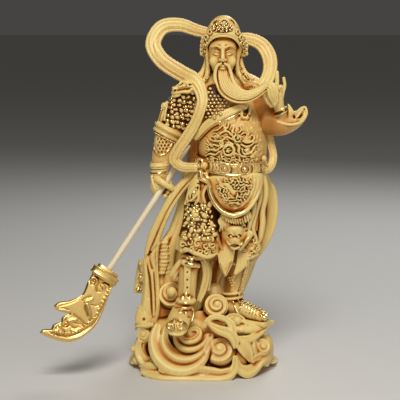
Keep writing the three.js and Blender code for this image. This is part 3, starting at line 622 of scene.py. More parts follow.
def sums(tree, how, first, second, third=0.0):
    return join(tree, "ShaderNodeMath", {0: first, 1: second, 2: third}, operation=how).outputs[0]


def colour(code):
    """A colour written as on paper, turned into the linear values that shaders use."""
    parts = [int(code[k : k + 2], 16) / 255 for k in (0, 2, 4)]
    return (*(p / 12.92 if p < 0.04045 else ((p + 0.055) / 1.055) ** 2.4 for p in parts), 1)


ALONG_GRAIN = (1, 1, 0.06)
grain_group, given, handed = new_group(
    "wood grain",
    [("Scale", "NodeSocketFloat", 1.0), ("Stretch", "NodeSocketVector", ALONG_GRAIN)],
    [("Streaks", "NodeSocketFloat"), ("Clouding", "NodeSocketFloat")],
)
place = grain_group.nodes.new("ShaderNodeTexCoord").outputs["Object"]
drawn = join(grain_group, "ShaderNodeVectorMath", {0: place, 1: given.outputs["Stretch"]},
    operation="MULTIPLY").outputs[0]
fibres = join(
    grain_group, "ShaderNodeTexNoise",
    {"Vector": drawn, "Scale": sums(grain_group, "MULTIPLY", given.outputs["Scale"], 1600.0), "Detail": 4.0,
    "Roughness": 0.6},
)
drifts = join(
    grain_group, "ShaderNodeTexNoise",
    {"Vector": place, "Scale": sums(grain_group, "MULTIPLY", given.outputs["Scale"], 45.0), "Detail": 3.0},
)
grain_group.links.new(fibres.outputs["Fac"], handed.inputs["Streaks"])
grain_group.links.new(drifts.outputs["Fac"], handed.inputs["Clouding"])

# the patina group darkens hollows and lightens what stands proud: real patina and polish, and also painted
# shade and a painted highlight
patina_and_shade_group, given, handed = new_group(
    "patina",
    [
        ("Hollow", "NodeSocketFloat", 0.5),
        ("Deep", "NodeSocketFloat", 0.5),
        ("Clouding", "NodeSocketFloat", 0.5),
        ("Streaks", "NodeSocketFloat", 0.5),
        ("Pale", "NodeSocketColor", colour("EFCF8E")),
        ("Honey", "NodeSocketColor", colour("D69A48")),
        ("Dark", "NodeSocketColor", colour("4A1F08")),
    ],
    [("Colour", "NodeSocketColor"), ("Shade and patina", "NodeSocketFloat")],
)
tree = patina_and_shade_group
fine_hollow = between(tree, given.outputs["Hollow"], 0.505, 0.7)
wide_hollow = between(tree, given.outputs["Deep"], 0.45, 0.78)
# hollows turn honey and red-brown: the patina, and painted shade
shade_and_patina = sums(tree, "MULTIPLY_ADD", fine_hollow, 0.7, sums(tree, "MULTIPLY", wide_hollow, 0.66))
shade_and_patina = sums(tree, "MINIMUM", shade_and_patina, 1.0)
# what stands proud turns pale: polish, and a painted highlight
proud_polish_and_highlight = between(tree, given.outputs["Hollow"], 0.5, 0.34)
clouding = between(tree, given.outputs["Clouding"], 0.35, 0.65)
# honey on broad flats and hollows, pale on rounded forms: painted shade and a painted highlight
level = between(tree, given.outputs["Deep"], 0.34, 0.6)
first = sums(tree, "MULTIPLY_ADD", clouding, 0.26, sums(tree, "MULTIPLY", level, 0.5))
body = blend_colours(tree, first, given.outputs["Pale"], given.outputs["Honey"])
body = blend_colours(tree, between(tree, shade_and_patina, 0.0, 0.36), body, given.outputs["Honey"])
body = blend_colours(tree, sums(tree, "MULTIPLY", proud_polish_and_highlight, 0.75), body, given.outputs["Pale"])
body = blend_colours(tree, sums(tree, "MULTIPLY", between(tree, given.outputs["Streaks"], 0.45, 0.75), 0.18),
    body, given.outputs["Honey"])
body = blend_colours(tree, between(tree, shade_and_patina, 0.26, 0.95), body, given.outputs["Dark"])
tree.links.new(body, handed.inputs["Colour"])
tree.links.new(shade_and_patina, handed.inputs["Shade and patina"])
print("groups:", [group.name for group in bpy.data.node_groups])


# %% [markdown]
# ### The finish of the figure
# One material does all of the carved wood. It reads three numbers that every point of the skin carries:
# how hollow it is, how deep it lies, and its gilding. Above one half that is gold leaf. Below zero it is
# stain and painted shade: a thin one turns the wood amber, a full one almost black. Painting such a mask
# by hand would work as well, but numbers stored while carving always fit the shape.


# %% Carved and gilded boxwood
def fresh(name):
    material = bpy.data.materials.new(name)
    material.use_nodes = True
    tree = material.node_tree
    tree.nodes.clear()
    shader = tree.nodes.new("ShaderNodeBsdfPrincipled")
    tree.links.new(shader.outputs[0], tree.nodes.new("ShaderNodeOutputMaterial").inputs[0])
    return material, tree, shader


def attribute(tree, name):
    return join(tree, "ShaderNodeAttribute", {}, attribute_name=name).outputs["Fac"]


def coated(tree, stretch, pale, honey, dark):
    """The two groups in a material: grain, and patina with painted shade and highlight that reads it and the
    piece's own attributes.
    """
    grain = join(tree, "ShaderNodeGroup", {"Stretch": stretch}, node_tree=grain_group).outputs
    inputs = {
        "Hollow": attribute(tree, "hollow"), "Deep": attribute(tree, "deep"),
        "Clouding": grain["Clouding"], "Streaks": grain["Streaks"],
        "Pale": colour(pale), "Honey": colour(honey), "Dark": colour(dark),
    }
    coat = join(tree, "ShaderNodeGroup", inputs, node_tree=patina_and_shade_group).outputs
    return grain["Streaks"], grain["Clouding"], coat["Colour"], coat["Shade and patina"]


def bumped(tree, shader, height, strength):
    bump = join(tree, "ShaderNodeBump", {"Height": height, "Strength": strength, "Distance": 0.0003})
    tree.links.new(bump.outputs[0], shader.inputs["Normal"])


def wood_finish(name, pale, honey, dark, gilded=True):
    material, tree, shader = fresh(name)
    streaks, clouding, shade, shade_and_patina = coated(tree, ALONG_GRAIN, pale, honey, dark)
    rough = between(tree, shade_and_patina, 0.0, 0.8, 0.36, 0.7)
    # below zero the mark is stain and painted shade: a thin one turns the wood amber, a full one almost black
    amber_stain_and_shade = between(tree, attribute(tree, "gilt"), -0.2, -0.5)
    stain_and_shade = between(tree, attribute(tree, "gilt"), -0.45, -0.9)
    shade = blend_colours(tree, sums(tree, "MULTIPLY", amber_stain_and_shade, 0.75), shade, colour(honey))
    shade = blend_colours(tree, sums(tree, "MULTIPLY", stain_and_shade, 0.95), shade, colour(dark))
    if gilded:
        edge = sums(tree, "MULTIPLY_ADD", sums(tree, "SUBTRACT", streaks, 0.5), 0.5, attribute(tree, "gilt"))
        leaf = between(tree, edge, 0.46, 0.56)
        # gold leaf turns dark brown and less metallic in hollows: patina on the leaf, and painted shade
        leaf_patina_and_shade = between(tree, shade_and_patina, 0.25, 0.75)
        metal = blend_colours(tree, leaf_patina_and_shade, colour("F8DC98"), colour("8A4A14"))
        shade = blend_colours(tree, leaf, shade, metal)
        bare = sums(tree, "SUBTRACT", 1.0, sums(tree, "MULTIPLY", leaf_patina_and_shade, 0.75))
        tree.links.new(sums(tree, "MULTIPLY", leaf, bare), shader.inputs["Metallic"])
        polish = between(tree, clouding, 0.3, 0.7, 0.2, 0.36)
        rough = sums(tree, "MULTIPLY_ADD", leaf, sums(tree, "SUBTRACT", polish, rough), rough)
    tree.links.new(shade, shader.inputs["Base Color"])
    tree.links.new(rough, shader.inputs["Roughness"])
    # the shine is a thin coat of wax, which is missing from stained and shaded hollows and from gold leaf
    matte = sums(tree, "MAXIMUM", stain_and_shade, between(tree, shade_and_patina, 0.1, 0.8))
    if gilded:
        matte = sums(tree, "MAXIMUM", matte, leaf)
    tree.links.new(sums(tree, "MULTIPLY_ADD", matte, -0.65, 0.65), shader.inputs["Coat Weight"])
    shader.inputs["Coat Roughness"].default_value = 0.4
    shader.inputs["Specular IOR Level"].default_value = 0.12
    bumped(tree, shader, streaks, 0.12)
    return material


boxwood = wood_finish("carved boxwood", "F3D98A", "C4761A", "3E1302")
print("material:", boxwood.name)

# %% [markdown]
# ## The clouds underfoot
# Traditional carvings stand on rolling clouds: fat windings with crisp rims and scooped floors, and
# tongues of cloud that lap over each other. The mound comes first, then the drums and roses, then laps of
# cloud: bands with a crisp rim on one side and a scoop on the other. The laps of the big swirl run
# together at its upper right, as the windings of a shell do.

# %% Mound
clouds = Block((-45, -38.2, -0.8), (46, 34.5, 52), step=0.42)
mound = table("""
    -0.5 0 -1 37 30, -0.5 0 5 38 30.4, 0 0 12 36.4 27.6, 1 1 19 32.5 24, 2 2 25 26.5 19, 2 3 31 19.5 14""")
clouds.sweep(mound, FRONT, blunt=0.05, soft=1)
clouds.sweep("-22 3 20 13 11, -18 3 36 10 8, -12 4 48 8 7 / 12 0 20 17 14, 9 1 32 12 11, 6 3 43 8 8", soft=2)
clouds.blobs("28 -15 8 11.4 10.6 10", soft=2)
clouds.blobs("21.6 -22.4 9.6 5.2 5.2 6.4", soft=1)
clouds.blobs("35.6 -9.6 11.6 5.4 8 9, -31 -8.6 13 6.6 6 10", soft=2)
print("mound:", clouds.counts, "spots")

# %% [markdown]
# ### Drums and roses
# These are the rolled clouds whose winding shows. Each row has the middle, the radius and the way that the
# end faces, and then what differs from an ordinary roll. The first, under the right toe, is only a smooth
# dome, because its windings are laid over it one by one. Rows 5 to 7 are the rose between the legs, the curl
# beside the boot and the ball under the left boot. The rest are the left front, the sides and the back.

# %% Drums and roses
rolls = """
    -8.6 -22.6 17.6 16.6 -0.05 -0.86 0.5; depth 0.75 start 2.4 pitch 3 lip 0 dome 0.1
    9.8 -27.4 16.2 9.2 0.12 -0.78 0.66; depth 1.7 hand -1 start 0.8 pitch 0.42 lip 0.15 dome 0.28 flare -0.05
    34.2 -22 16.2 4.9 0.3 -0.8 0.55; depth 1.8 start 2 pitch 0.45 lip 0.22
    25 -21 12 6 0.3 -0.8 0.5; depth 1.4 start 1.5 pitch 3 lip 0
    8.4 -15.5 38.2 6.8 0.1 -0.85 0.5; depth 1.4 hand -1 start 0.2 pitch 0.42 lip 0.26 rise 0.06
    -17.2 -9.5 43.8 7.2 -0.05 -0.88 0.45; depth 1.2 hand -1 start 4.4 pitch 0.5 lip 0.26 dome 0.08 knob 0.3
    19.4 -16.6 28.6 4.6 0.15 -0.6 0.75; depth 1.3 hand -1 start 2 pitch 0.5 lip 0.24 knob 0.5
    -31.4 -10.5 11.6 6.2 -0.5 -0.8 0.3; depth 1.1 hand -1 start 1 pitch 3 lip 0
    -33.2 -14.2 20.4 4.1 -0.35 -0.9 0.25; depth 1.2 hand 1 start 3 pitch 0.55 lip 0.2
    -36.6 -8 6.2 4.4 -0.8 -0.6 0.2; depth 1.2 pitch 0.5 lip 0.14
    -36.4 -5.4 14.4 4.2 -0.9 -0.5 0.3; depth 1.2 hand -1 start 3 lip 0.2
    34.6 6 10 8 1 0.1 0.35; hand -1 depth 1 pitch 0.3 rise 0.05
    30.6 -2 16 6.4 0.8 -0.3 0.6; depth 1.2 start 2 pitch 0.36
    27 16.5 15 8 0.7 0.8 0.5; depth 1 start 1
    -34.5 12 11 8.8 -1 0.45 0.35; depth 1 pitch 0.3 rise 0.05
    -30 5 24 6.6 -0.9 0.1 0.6; depth 1.2 hand -1 start 1
    -23 21 20 7.4 -0.5 0.8 0.55; depth 1.1 hand -1 start 2
    13 24.6 12 10 0.15 1 0.4; depth 0.9 pitch 0.28 rise 0.07
    -11 25 11 10 -0.2 1 0.4; depth 0.9 hand -1 pitch 0.28 rise 0.07
    2 21 25 8 0 0.9 0.6; depth 1 start 3"""
for line in rolls.strip().splitlines():
    places, _, named = line.partition(";")
    x, y, z, radius, *way = map(float, places.split())
    words = named.split()
    roll(clouds, (x, y, z), radius, way, **dict(zip(words[::2], map(float, words[1::2]))))
print("rolled clouds:", len(rolls.strip().splitlines()))

# %% [markdown]
# ### Laps of cloud
# Each lap is a path with a half width. hand says on which side of the path the scoop lies. Hollows
# are cut before the laps that frame them, so that every rim stays whole.

# %% Laps of cloud
SWIRL, LEFT, RIGHT = (-0.1, -1, 0.7), (-0.6, -1, 0.3), (0.4, -1, 0.6)
CREST, TONGUE = (0.05, -1, 0.7), (0.2, -0.9, 0.7)


def lap(block, path, face, hand=1, thick=1.0, deep=1.3, soft=1.0):
    """A band through a text of x, y, z and half width: a crisp rim on one side, a scoop on the other."""

    def scooped(across, out, along):
        u = hand * across
        return (0.35 * bell(u, -0.5, 0.22) - deep * bell(u, 0.42, 0.42)) * (out > 0)

    stations = [[x, y, z, 1.6 * w, 0.6 + thick * w * 0.6] for x, y, z, w in table(path)]
    block.sweep(stations, face, soft=soft, relief=scooped)


for centre, sizes, turn in (
    ((11.2, -27, 27.8), (5.2, 4, 2.6), (0, 22, 0)),
    ((-30.5, -18, 13), (3, 5.4, 4.2), (0, -8, 0)),
    ((3.9, -30, 14), (1.3, 3, 6), (0, 10, 0)),
    ((18.6, -31, 12), (1.2, 3, 5), (0, 6, 0)),
    ((25.6, -29, 14.6), (3.4, 2.6, 2.2), (0, 30, 0)),
    ((30, -20.6, 24), (6.6, 2.6, 1.6), (0, -6, 20)),
    ((-38.6, -12, 11.5), (2, 3, 1.5), (0, 0, 0)),
    ((33.6, -22, 0), (5, 9, 4.6), (0, 0, 0)),
):
    clouds.blob(centre, sizes, turn, soft=1.2, carve=True)
laps = [
    # the windings of the swirl
    ("""
        -24.6 -18.6 27.6 1.2, -26.5 -21.8 21.9 2, -25.8 -25.2 16 2.6, -22.5 -28.6 10.5 3, -16.2 -31.1 6.8 3.2,
        -9.3 -31.9 6.2 3, -3.1 -30.9 8.5 2.6, 1.2 -28.7 12.7 2, 3.8 -26 17.6 1.5, 5.3 -22.8 23.2 0.9""",
        SWIRL, -1),
    ("""
        -20.5 -20.6 24.8 0.9, -20.9 -23.4 20.1 1.6, -18.6 -26.3 15.2 2.2, -13.8 -28.4 12.1 2.5,
        -7.6 -29.1 11.5 2.4, -2.2 -28.3 13.5 2, 1.5 -26.5 17 1.5, 3.8 -24 21.4 0.8""", SWIRL, -1),
    ("""
        -15.3 -22.8 22.9 0.8, -13.3 -25.2 18.7 1.4, -8.5 -26.9 16.3 1.8, -2.8 -26.8 17 1.6, 1 -25.4 19.7 1.1,
        3.1 -23.3 23.3 0.7""", SWIRL, -1),
    ("""
        -12 -23.4 22.5 0.7, -9.2 -25.1 20 1.1, -4.9 -25.2 20.2 1.2, -1.8 -24 22.4 1.1, -1.5 -22.4 25 0.9,
        -4.2 -21.4 26.2 0.8, -7 -22 25.1 0.7, -6.8 -23 23.2 0.6""", SWIRL, -1),
    # the hem at the front
    ("""
        -33.6 -25.6 2.2 0.8, -29.6 -28.6 1.6 1.4, -23.4 -32.2 1.7 2, -15.1 -33.4 1.5 2.2, -6.9 -33.7 1.6 2.2,
        1.4 -33.7 1.4 2.2, 9.6 -33.7 1.4 2.2, 15.5 -33.3 3 1.8, 18.2 -32.2 7.3 1.4, 18.6 -31 12.3 1""",
        (0, -1, 0.6), -1),
    ("""
        -23.4 -31.6 5.8 1, -17.9 -32.6 4.3 1.5, -11 -33.2 3.4 1.8, -5.5 -33.1 4 1.8, 0 -32.9 4.9 1.8,
        5.5 -32.9 4.4 1.7, 10.3 -33.1 3.8 1.5, 15.1 -32.8 5 1.1""", (0, -1, 0.6), 1),
    ("-34.4 -21 3.2 1.2, -30.4 -24.4 4.4 2, -26 -27 4.6 2.2, -21.4 -29.4 4.2 1.4", (-0.3, -1, 0.6), 1),
    # the crest that breaks over the drum
    ("1.4 -25.9 27.9 0.6, 2.6 -24.2 30.8 0.9, 5.2 -23 32.6 1.1, 9 -22.5 33.1 1.2, 12.5 -23 31.8 1", CREST, -1),
    ("""
        3.1 -25.3 31 0.6, 5.9 -26.6 28.8 1.3, 9.7 -27.4 26.8 1.8, 13.4 -27.6 25.6 2, 16.5 -28 23.8 2,
        18.2 -29 20.6 1.6, 18.4 -30 17.4 0.9""", CREST, -1),
    ("""
        9.7 -22.4 32.9 0.8, 13.9 -22.8 31.5 1.3, 16.6 -24.2 28.6 1.5, 17.6 -25.6 25.4 1.2,
        17.8 -26.8 22.6 0.8""", CREST, -1),
    # the tongue under the left boot, and rings round the ball beside it
    ("""
        12.5 -22 28.4 0.6, 13.4 -19.2 30.9 0.8, 16.5 -16.9 32.2 0.9, 20.3 -16 31.8 0.9, 23.3 -17.1 29.7 0.9,
        23.7 -19.6 27.1 0.8, 22.3 -22.3 24.9 0.7""", TONGUE, 1),
    # the folded waves at the lower right
    ("17.6 -24.6 22 0.9, 22 -25 20.8 1.5, 27 -23.8 21 1.5, 33 -19.6 23.4 1.1, 38.6 -14.4 27.2 0.6", TONGUE, -1),
    ("18.8 -27 21 1.2, 22.4 -27 18.2 2.6, 25.4 -27 14 2.5, 27.2 -27 8.8 0.8", RIGHT, 1),
    ("29.6 -22.6 19.6 1, 29.8 -24 15.6 1.8, 30.4 -24.6 11.6 1.6, 29.2 -26 8 0.8", RIGHT, -1),
    ("""
        18.6 -30 12.4 0.8, 20.6 -31 6.4 1.8, 25 -30 3.6 2.4, 29.4 -27 5 2, 33.4 -24 8.4 1.5,
        37.4 -18 8.6 1.4""", RIGHT, -1),
    ("27.4 -27.2 9 0.7, 31.6 -24.8 11 1.2, 36 -21 11 1.2, 38.6 -15 12 0.9", RIGHT, 1),
    # the ruyi head at the left, the leaf above it, and the crescent round its hollow
    ("""
        -38 -9.4 22.8 0.6, -37.4 -10.4 25 1, -34.4 -12.6 26 1.2, -30.8 -14.4 26.2 1.1, -27.8 -15.8 27 0.8""",
        LEFT, -1),
    ("""
        -35.6 -14.4 17 0.9, -36.2 -14.4 12.6 1.4, -35 -15.6 8.2 1.8, -32.2 -18 5.6 1.9, -29 -20 6.6 1.5,
        -27.3 -20.6 10 1.1, -27.2 -20 14.6 0.8, -28.2 -18.4 17.6 0.6""", LEFT, -1),
    # the right side, the back and the left side
    ("""
        40 -9 3.6 1.6, 40.6 2 2.6 2, 37.6 13 2.2 2, 29 22 2.2 2, 16 27.8 2.6 2, 2 29.6 2.2 2, -12 29 2.6 2,
        -26 24 2.2 2, -35.6 15 2.6 2, -39 4 2.6 2, -38.6 -7 2.6 1.6""", (0, 0, 1), 1),
    ("22 21.6 24 1.6, 26 22.8 16 1.9, 20 27 8 1.9", (0.5, 1, 0.3), 1),
    ("-4 23.4 20 1.6, 0 27.6 12 1.9, 2 29.4 5 1.9", (0, 1, 0.3), 1),
    ("-20 21.6 27 1.6, -26 23.4 18 1.9, -25 25 8 1.9", (-0.5, 1, 0.3), -1),
]
# the tongue is flat on top and draws back underneath to a thin edge
clouds.sweep("""
    18 -14.5 24.8 7.4 4.2, 27 -15.2 25 6.8 3.8, 34.5 -13.6 26.2 4.4 2.4, 38.6 -12.4 27.4 2.2 1.1,
    41.2 -11.8 28 0.5 0.4""", UP, soft=0.8)
laps.append(("""
    17 -17.6 30.2 1, 23 -18.8 28.6 1.2, 29.5 -18.6 27.2 1.2, 35.4 -16.4 27 1, 40.4 -12.6 28 0.5""", TONGUE, 1))
for path, face, hand in laps:
    lap(clouds, path, face, hand)
clouds.blobs("-17.2 -14 45.6 2.8 2.6 2.8, 19.6 -18.8 29.8 2.6 2.6 2.6", soft=0.4)
clouds.blobs("-38.6 -8.8 11 2.6 3 2.2, -37.2 -11 4.8 2.6 3 2.4", soft=0.6)
clouds.blobs("37 -12 10.4 2.8 5 4.6", soft=1.5)
# the cloth's flared end rests on the clouds
clouds.sweep("-31.6 -8 35 4.6 2.8, -33 -9.6 30 5 3, -33.4 -11 26.4 4.6 2.2", soft=0.8)
# painted shade in the slot cut into the cloth's end
clouds.blobs("-32.9 -13.6 29.2 0.9 2.4 0.9", soft=0.3, carve=True, gilt=-0.6)
clouds.field[:, :, clouds.axes[2] < 0] = FAR
carved("clouds", clouds, boxwood, most=140000)


# %% [markdown]
# ## Robe, cape and stole
# Behind the armour hangs a long robe, a cape blows out on one side, and the sash falls on the other in
# three strands down to the clouds. Pleats are a groove pattern that wanders as it falls: narrow valleys
# between round ridges, which is how cloth is cut in wood. The grooves of the stole are drawn one by one.


# %% Robe, cape and stole
def pleats(count, depth, wander=0.8, sharp=2.0, both=True):
    """Narrow valleys between round ridges that wander as the cloth falls."""

    def height(across, out, along):
        angle = count * math.pi * (across + 1) + wander * np.sin(along / 8 + 3 * across)
        valley = (0.5 + 0.5 * np.cos(angle)) ** sharp
        return -depth * valley * (1 if both else ease(-0.3, 0.3, out))

    return height


def strokes(text):
    """Drawings of x, z, half width and height share, 1 where none is given, with a slash between them."""
    return [[(row + [1])[:4] for row in table(part)] for part in text.split("/")]


def draw(block, lines, way=BACK, **look):
    """Strokes in x and z, or a text of them, drawn from the front unless way says otherwise."""
    for line in strokes(lines) if isinstance(lines, str) else lines:
        stroke(block, line, -BENCH * np.array(way), (1, 0, 0), UP, way, **look)


def dot(block, x, z, length, wide, **look):
    """A short upright stroke."""
    draw(block, [[[x, z + length / 2, wide, 1], [x, z - length / 2, wide, 1]]], **look)


robe = Block((-44, -20, 19), (48, 24, 117), step=0.42)
back_robe = table("""
    16 5 114 19.6 11.6, 13 8 92 24.6 10.8, 9 9.5 72 27 10.2, 2.5 9 52 24 10.8, -2.5 8 32 21.5 12.6""")
robe.sweep(back_robe, BACK, square=0.85, relief=pleats(5, 2.6), soft=1)
robe.sweep("""
    33 12 108 6 3, 33 14 84 8 3, 27 14 60 7 3, 19 12 40 6 3""", (0.6, 1, 0), relief=pleats(2, 1.4), soft=1)


def bowed(across, out, along):
    """A sheet that is a little hollow between two soft rims."""
    return -0.8 * bell(across, 0, 0.6) * (out > 0) + 0.25 * bell(across, -0.8, 0.12) * (out > 0)


cape = table("""
    33 3 112 3 2.4, 38.2 6 99 4.8 1.8, 38.2 8 86 5.6 1.8, 34.2 8 74 6.2 1.8, 27.8 7 62.6 5.2 1.8,
    23.4 5 53 3 1.8""")
robe.sweep(cape, (-0.25, -1, 0), relief=bowed, soft=0.8)

stole = table("""
    -2.6 -9 113 3.1 2.6, -14.2 -9.5 101 3.1 2.4, -21.4 -9 88.6 3.2 2.4, -27 -8 75 3.8 2.6, -29 -7 62 4.1 2.8,
    -28.8 -7 46 4.8 3, -29.6 -8 34 5.8 3.2, -31 -8.4 27.6 5.4 2.4""")
robe.sweep(stole, square=0.8, soft=0.8, relief=lambda u, v, s: 0.12 * np.sin(2.2 * u + s / 13))
draw(robe, """
    -5 110 0.3 0.6, -10.1 104.5 0.5, -18.1 93.1 0.6, -23.4 82.4 0.6, -27.4 73 0.6, -29.4 68 0.6, -29.6 62.8 0.7,
    -27.5 55.4 0.7 1.1, -26.6 45.8 0.7 1.1, -26.2 35.6 0.5 0.8, -26.6 29 0.3 0.4 /
    -29.4 68 0.4 0.5, -31 60 0.6, -29.6 52.6 0.7, -28.9 45.8 0.8, -28.5 37 0.7, -27.9 29 0.4 0.5 /
    -25.6 72 0.3 0.3, -26.2 66 0.4 0.8, -25.6 58 0.4 0.9, -25.2 48 0.4 0.9, -25 38 0.3 0.5 /
    -32.6 61.6 0.4 0.8, -31.4 64.4 0.5, -28.8 67.4 0.5 0.8, -25.4 70.6 0.3 0.4 /
    -12 101 0.3 0.3, -18.6 90 0.4 0.6, -22.8 80 0.3 0.3""", height=1.1, carve=True, soft=0.5)
draw(robe, """
    -31.8 58 0.7 0.5, -31.4 50 0.9, -32 41 1, -34 32 1 0.8 /
    -28.2 57 0.5 0.4, -28 49 0.6, -27.4 40 0.6, -27.2 31 0.6 0.6 /
    -30.6 40 0.8 0.4, -30.8 33 1.1 0.8, -31.4 27 1 0.6""", height=0.8, soft=0.9)
# painted shade on the inner cloth between the legs
draw(robe, "8 76 3.4, 8.4 66 4.6, 7.6 56 5, 7 46 4.6", height=0.05, carve=True, gilt=-0.72)
# the flat end of the robe that shows behind the stole, with its gilded border
robe.sweep("""
    -34.8 4 60 2.2 2.2, -35.6 4 50 3.1 2.6, -36.4 4 41.6 3.6 2.6""", square=0.7, blunt=0.3, soft=1,
    relief=pleats(2, 0.5))
robe.sweep("-36 5 50 5 3, -24 6 48 10 4", UP)
draw(robe, """
    -35.6 58.5 0.5, -36.3 55 0.5, -35 52 0.7, -36.6 49 0.6, -35.6 46 0.8, -37 43.4 0.5""", height=0.6, gilt=1.0)
draw(robe, "-37.6 43.4 0.9, -35.2 43 0.9", height=0.7, gilt=1.0)
# lining between the stole and the right leg: a brocaded border, and smooth dark cloth inside it
lining = table("""
    -9.6 1 99 3 3, -11.6 0 89 3.6 3, -15.2 -1 78 4 3, -19.4 -2.2 69 4.8 3, -20.8 -1 56 4.6 3, -21.8 0 44 5 3.6,
    -22 0 34 5 4""")
robe.sweep(lining, square=0.8, soft=1.2, relief=lambda u, v, s: -0.5 * bell(u, 0.1, 0.16) * (v < 2))
robe.sweep("""
    -19.4 -5.4 75.4 1.2 1.2, -21.8 -5.2 71 2.4 1.4, -21.9 -4.6 62 2.6 1.4, -23.2 -4.4 54 1.6 1.2""",
    square=0.8, soft=0.5)
robe.sweep("-1 3 133 3.4 7, -3.4 3.5 124 4.6 7.5, -5 4 115 5.6 8, -6 4 104 6 8", soft=1.5)
rng = np.random.default_rng(7)
for row in range(9):
    for column in range(4):
        x, z = -23.8 + 1.35 * column + 0.6 * (row % 2), 54.6 + 2.2 * row + rng.uniform(-0.2, 0.2)
        draw(robe, [[[x - 0.6, z - 0.5, 0.34, 1], [x, z + 0.5, 0.34, 1], [x + 0.6, z - 0.5, 0.34, 1]]],
            height=0.45)
carved("robe", robe, boxwood, most=110000)

# %% [markdown]
# ## Legs, boots and apron
# The right leg stands forward in scale armour, with cloth tied under the knee and an upturned boot. The
# left leg is half hidden by the skirt. In front hangs a shield-shaped apron with a gilded rim, and under
# it a beast's face, the charm that armour of this kind wears at its seams.

# %% Legs
def front_only(value):
    """Stain and painted shade on the seen side of a form, which leaves its back as plain wood."""
    return lambda across, out, along: np.where(out > -0.2, value, 0.0)


legs = Block((-22, -38.3, 22), (42, 14, 118), step=0.36)
thigh = table("3 -2 109 11 10, 0.5 -7 97 10.3 8.8, -0.5 -10 85 10.3 8.8, -1.5 -13 76 11.6 9.2")
# dark ground for the nuggets on the front of the thigh: stain, and painted shade between the nuggets
legs.sweep(thigh, gilt=front_only(-1.0))
legs.sweep("""
    -1.5 -12.5 78 11.2 8.8, -2 -13 73.5 12.3 10, -2.5 -13 69 12 9.6""", blunt=0.15,
    relief=lambda u, v, s: 0.5 * np.cos(9 * np.arctan2(v, u)))
legs.sweep("-4 -11 70 6.5 6, -7.5 -13 58 5.5 6, -8.3 -13.5 48 5.1 5.8, -9.2 -14 38 5 5.8")
# cloth tied under the knee, in soft folds that fall to both sides
legs.sweep("""
    -6.5 -14 66 2.4 2.4, -10.5 -14.5 62.6 3 2, -14 -13.6 58.4 2.9 1.7, -16.4 -12.8 54 2.7 1.3""", blunt=0.4,
    relief=pleats(2, 0.5))
legs.sweep("""
    -2 -16 66.4 1.6 1.8, 1.5 -15.4 62 2.6 2, 2.6 -14 55 2.6 1.8, 1 -12.6 47 2.4 1.8, -1.6 -12.4 40 1.8 1.6 /
    -0.5 -12 66 3 2.6, 3.4 -11.4 58 2.8 2.2, 2.6 -10.6 46 2.4 2""", relief=pleats(2, 0.8))
legs.sweep("-10.6 -15 66.4 2.4 1.6, -5 -19 66.6 2.6 1.8, 1 -17 66.4 2.4 1.6", (0, -1, 0), relief=pleats(1, 0.4))
legs.blobs("-7 -17.6 62.6 5 3.4 2.6 0 8 0", gilt=0)
legs.blobs("-6 -19.4 62.2 4.2 2.6 1.9 0 10 0, -2.4 -18.4 61.4 1.5 1.8 1.8 0 -40 0", gilt=1.0, soft=0.3)
for x, y, z in ((-6.6, -20.6, 66.4), (-4.6, -21, 66.6), (-5.8, -21, 65), (-8.2, -20, 66)):
    legs.blob((x, y, z), (1.1, 1.1, 1.1), gilt=1.0, soft=0.3)
# shin strap with its eyelets
legs.sweep("-8 -18.6 61 2.1 1.5, -8.4 -18.8 52 2 1.4, -8.6 -18.8 46 2 1.4", square=0.6, soft=0.3)
# painted shade in the eyelets
for z in (58, 53.6, 49.2):
    legs.blob((-8.2, -21, z), (0.65, 1.4, 0.75), carve=True, soft=0.2, gilt=-0.9)
legs.sweep("""
    -11.3 -15.6 59 0.7 1, -11.6 -16 50 0.7 1, -12.2 -16 43 0.7 1 /
    -4.9 -16 59 0.7 1, -4.8 -16.4 50 0.7 1, -4.4 -16.4 43 0.7 1""", soft=0.4)
# right boot: ankle leaf, instep bands and the big toe cap
legs.sweep("""
    -8.5 -10 37 5.8 5.8, -10.5 -17 36 5.8 5.4, -12.5 -24 32.5 6.5 5.4, -13.6 -29 30 6.4 4.9""", UP, blunt=0.7)
legs.blobs("-9 -17 41 5.8 6 2.8")
for x, z, top in ((-9.2, 42, 47), (-11.2, 41.4, 44.4), (-7, 41.4, 44.6)):
    legs.sweep([[x, -19.6, z, 1.3, 1.5], [x * 0.98, -20.2, (z + top) / 2, 1.1, 1.3],
        [x * 0.96, -19.8, top, 0.4, 0.6]], soft=0.3, gilt=1.0)
legs.sweep("""
    -13.4 -18.4 41.2 0.8 1, -9.2 -22.4 40.6 0.9 1.1, -4.8 -19 41 0.8 1""", (0, -1, 0.3), gilt=1.0, soft=0.3)
legs.sweep("""
    -14.6 -22.6 38.4 0.7 0.8, -11.6 -25.4 38.6 0.8 1, -8.4 -25.6 38.6 0.8 1, -5.4 -23 38.8 0.7 0.8""",
    (0, -1, 0.6), gilt=1.0, soft=0.3)
legs.sweep("""
    -5.4 -22 38 0.7 0.9, -4.6 -25 35.4 0.7 0.9, -5.8 -28 31.8 0.6 0.8""", (0.6, -1, 0.6), gilt=1.0, soft=0.3)
for x, y, z, size in ((-12, -26.4, 36.4, 1.5), (-9, -27, 36, 1.6), (-8, -27.4, 33.6, 1.5),
        (-15, -26.6, 34.6, 1.5), (-12, -28.4, 34.4, 1.4)):
    legs.blob((x, y, z), (size, size, size * 0.8), gilt=0.9, soft=0.4)
legs.blobs("-14 -31.2 29.6 6.2 4.9 4.4 20 0 12", gilt=1.0, soft=0.3)
for k, (x, z) in enumerate(((-17.8, 31.6), (-15.4, 32.6), (-13, 32.4), (-10.8, 31.2), (-16.4, 30),
        (-11.6, 29.6))):
    legs.blob((x, -34.2, z), (1.1, 1, 0.9), (0, 25 * k, 0), gilt=1.0, soft=0.3)
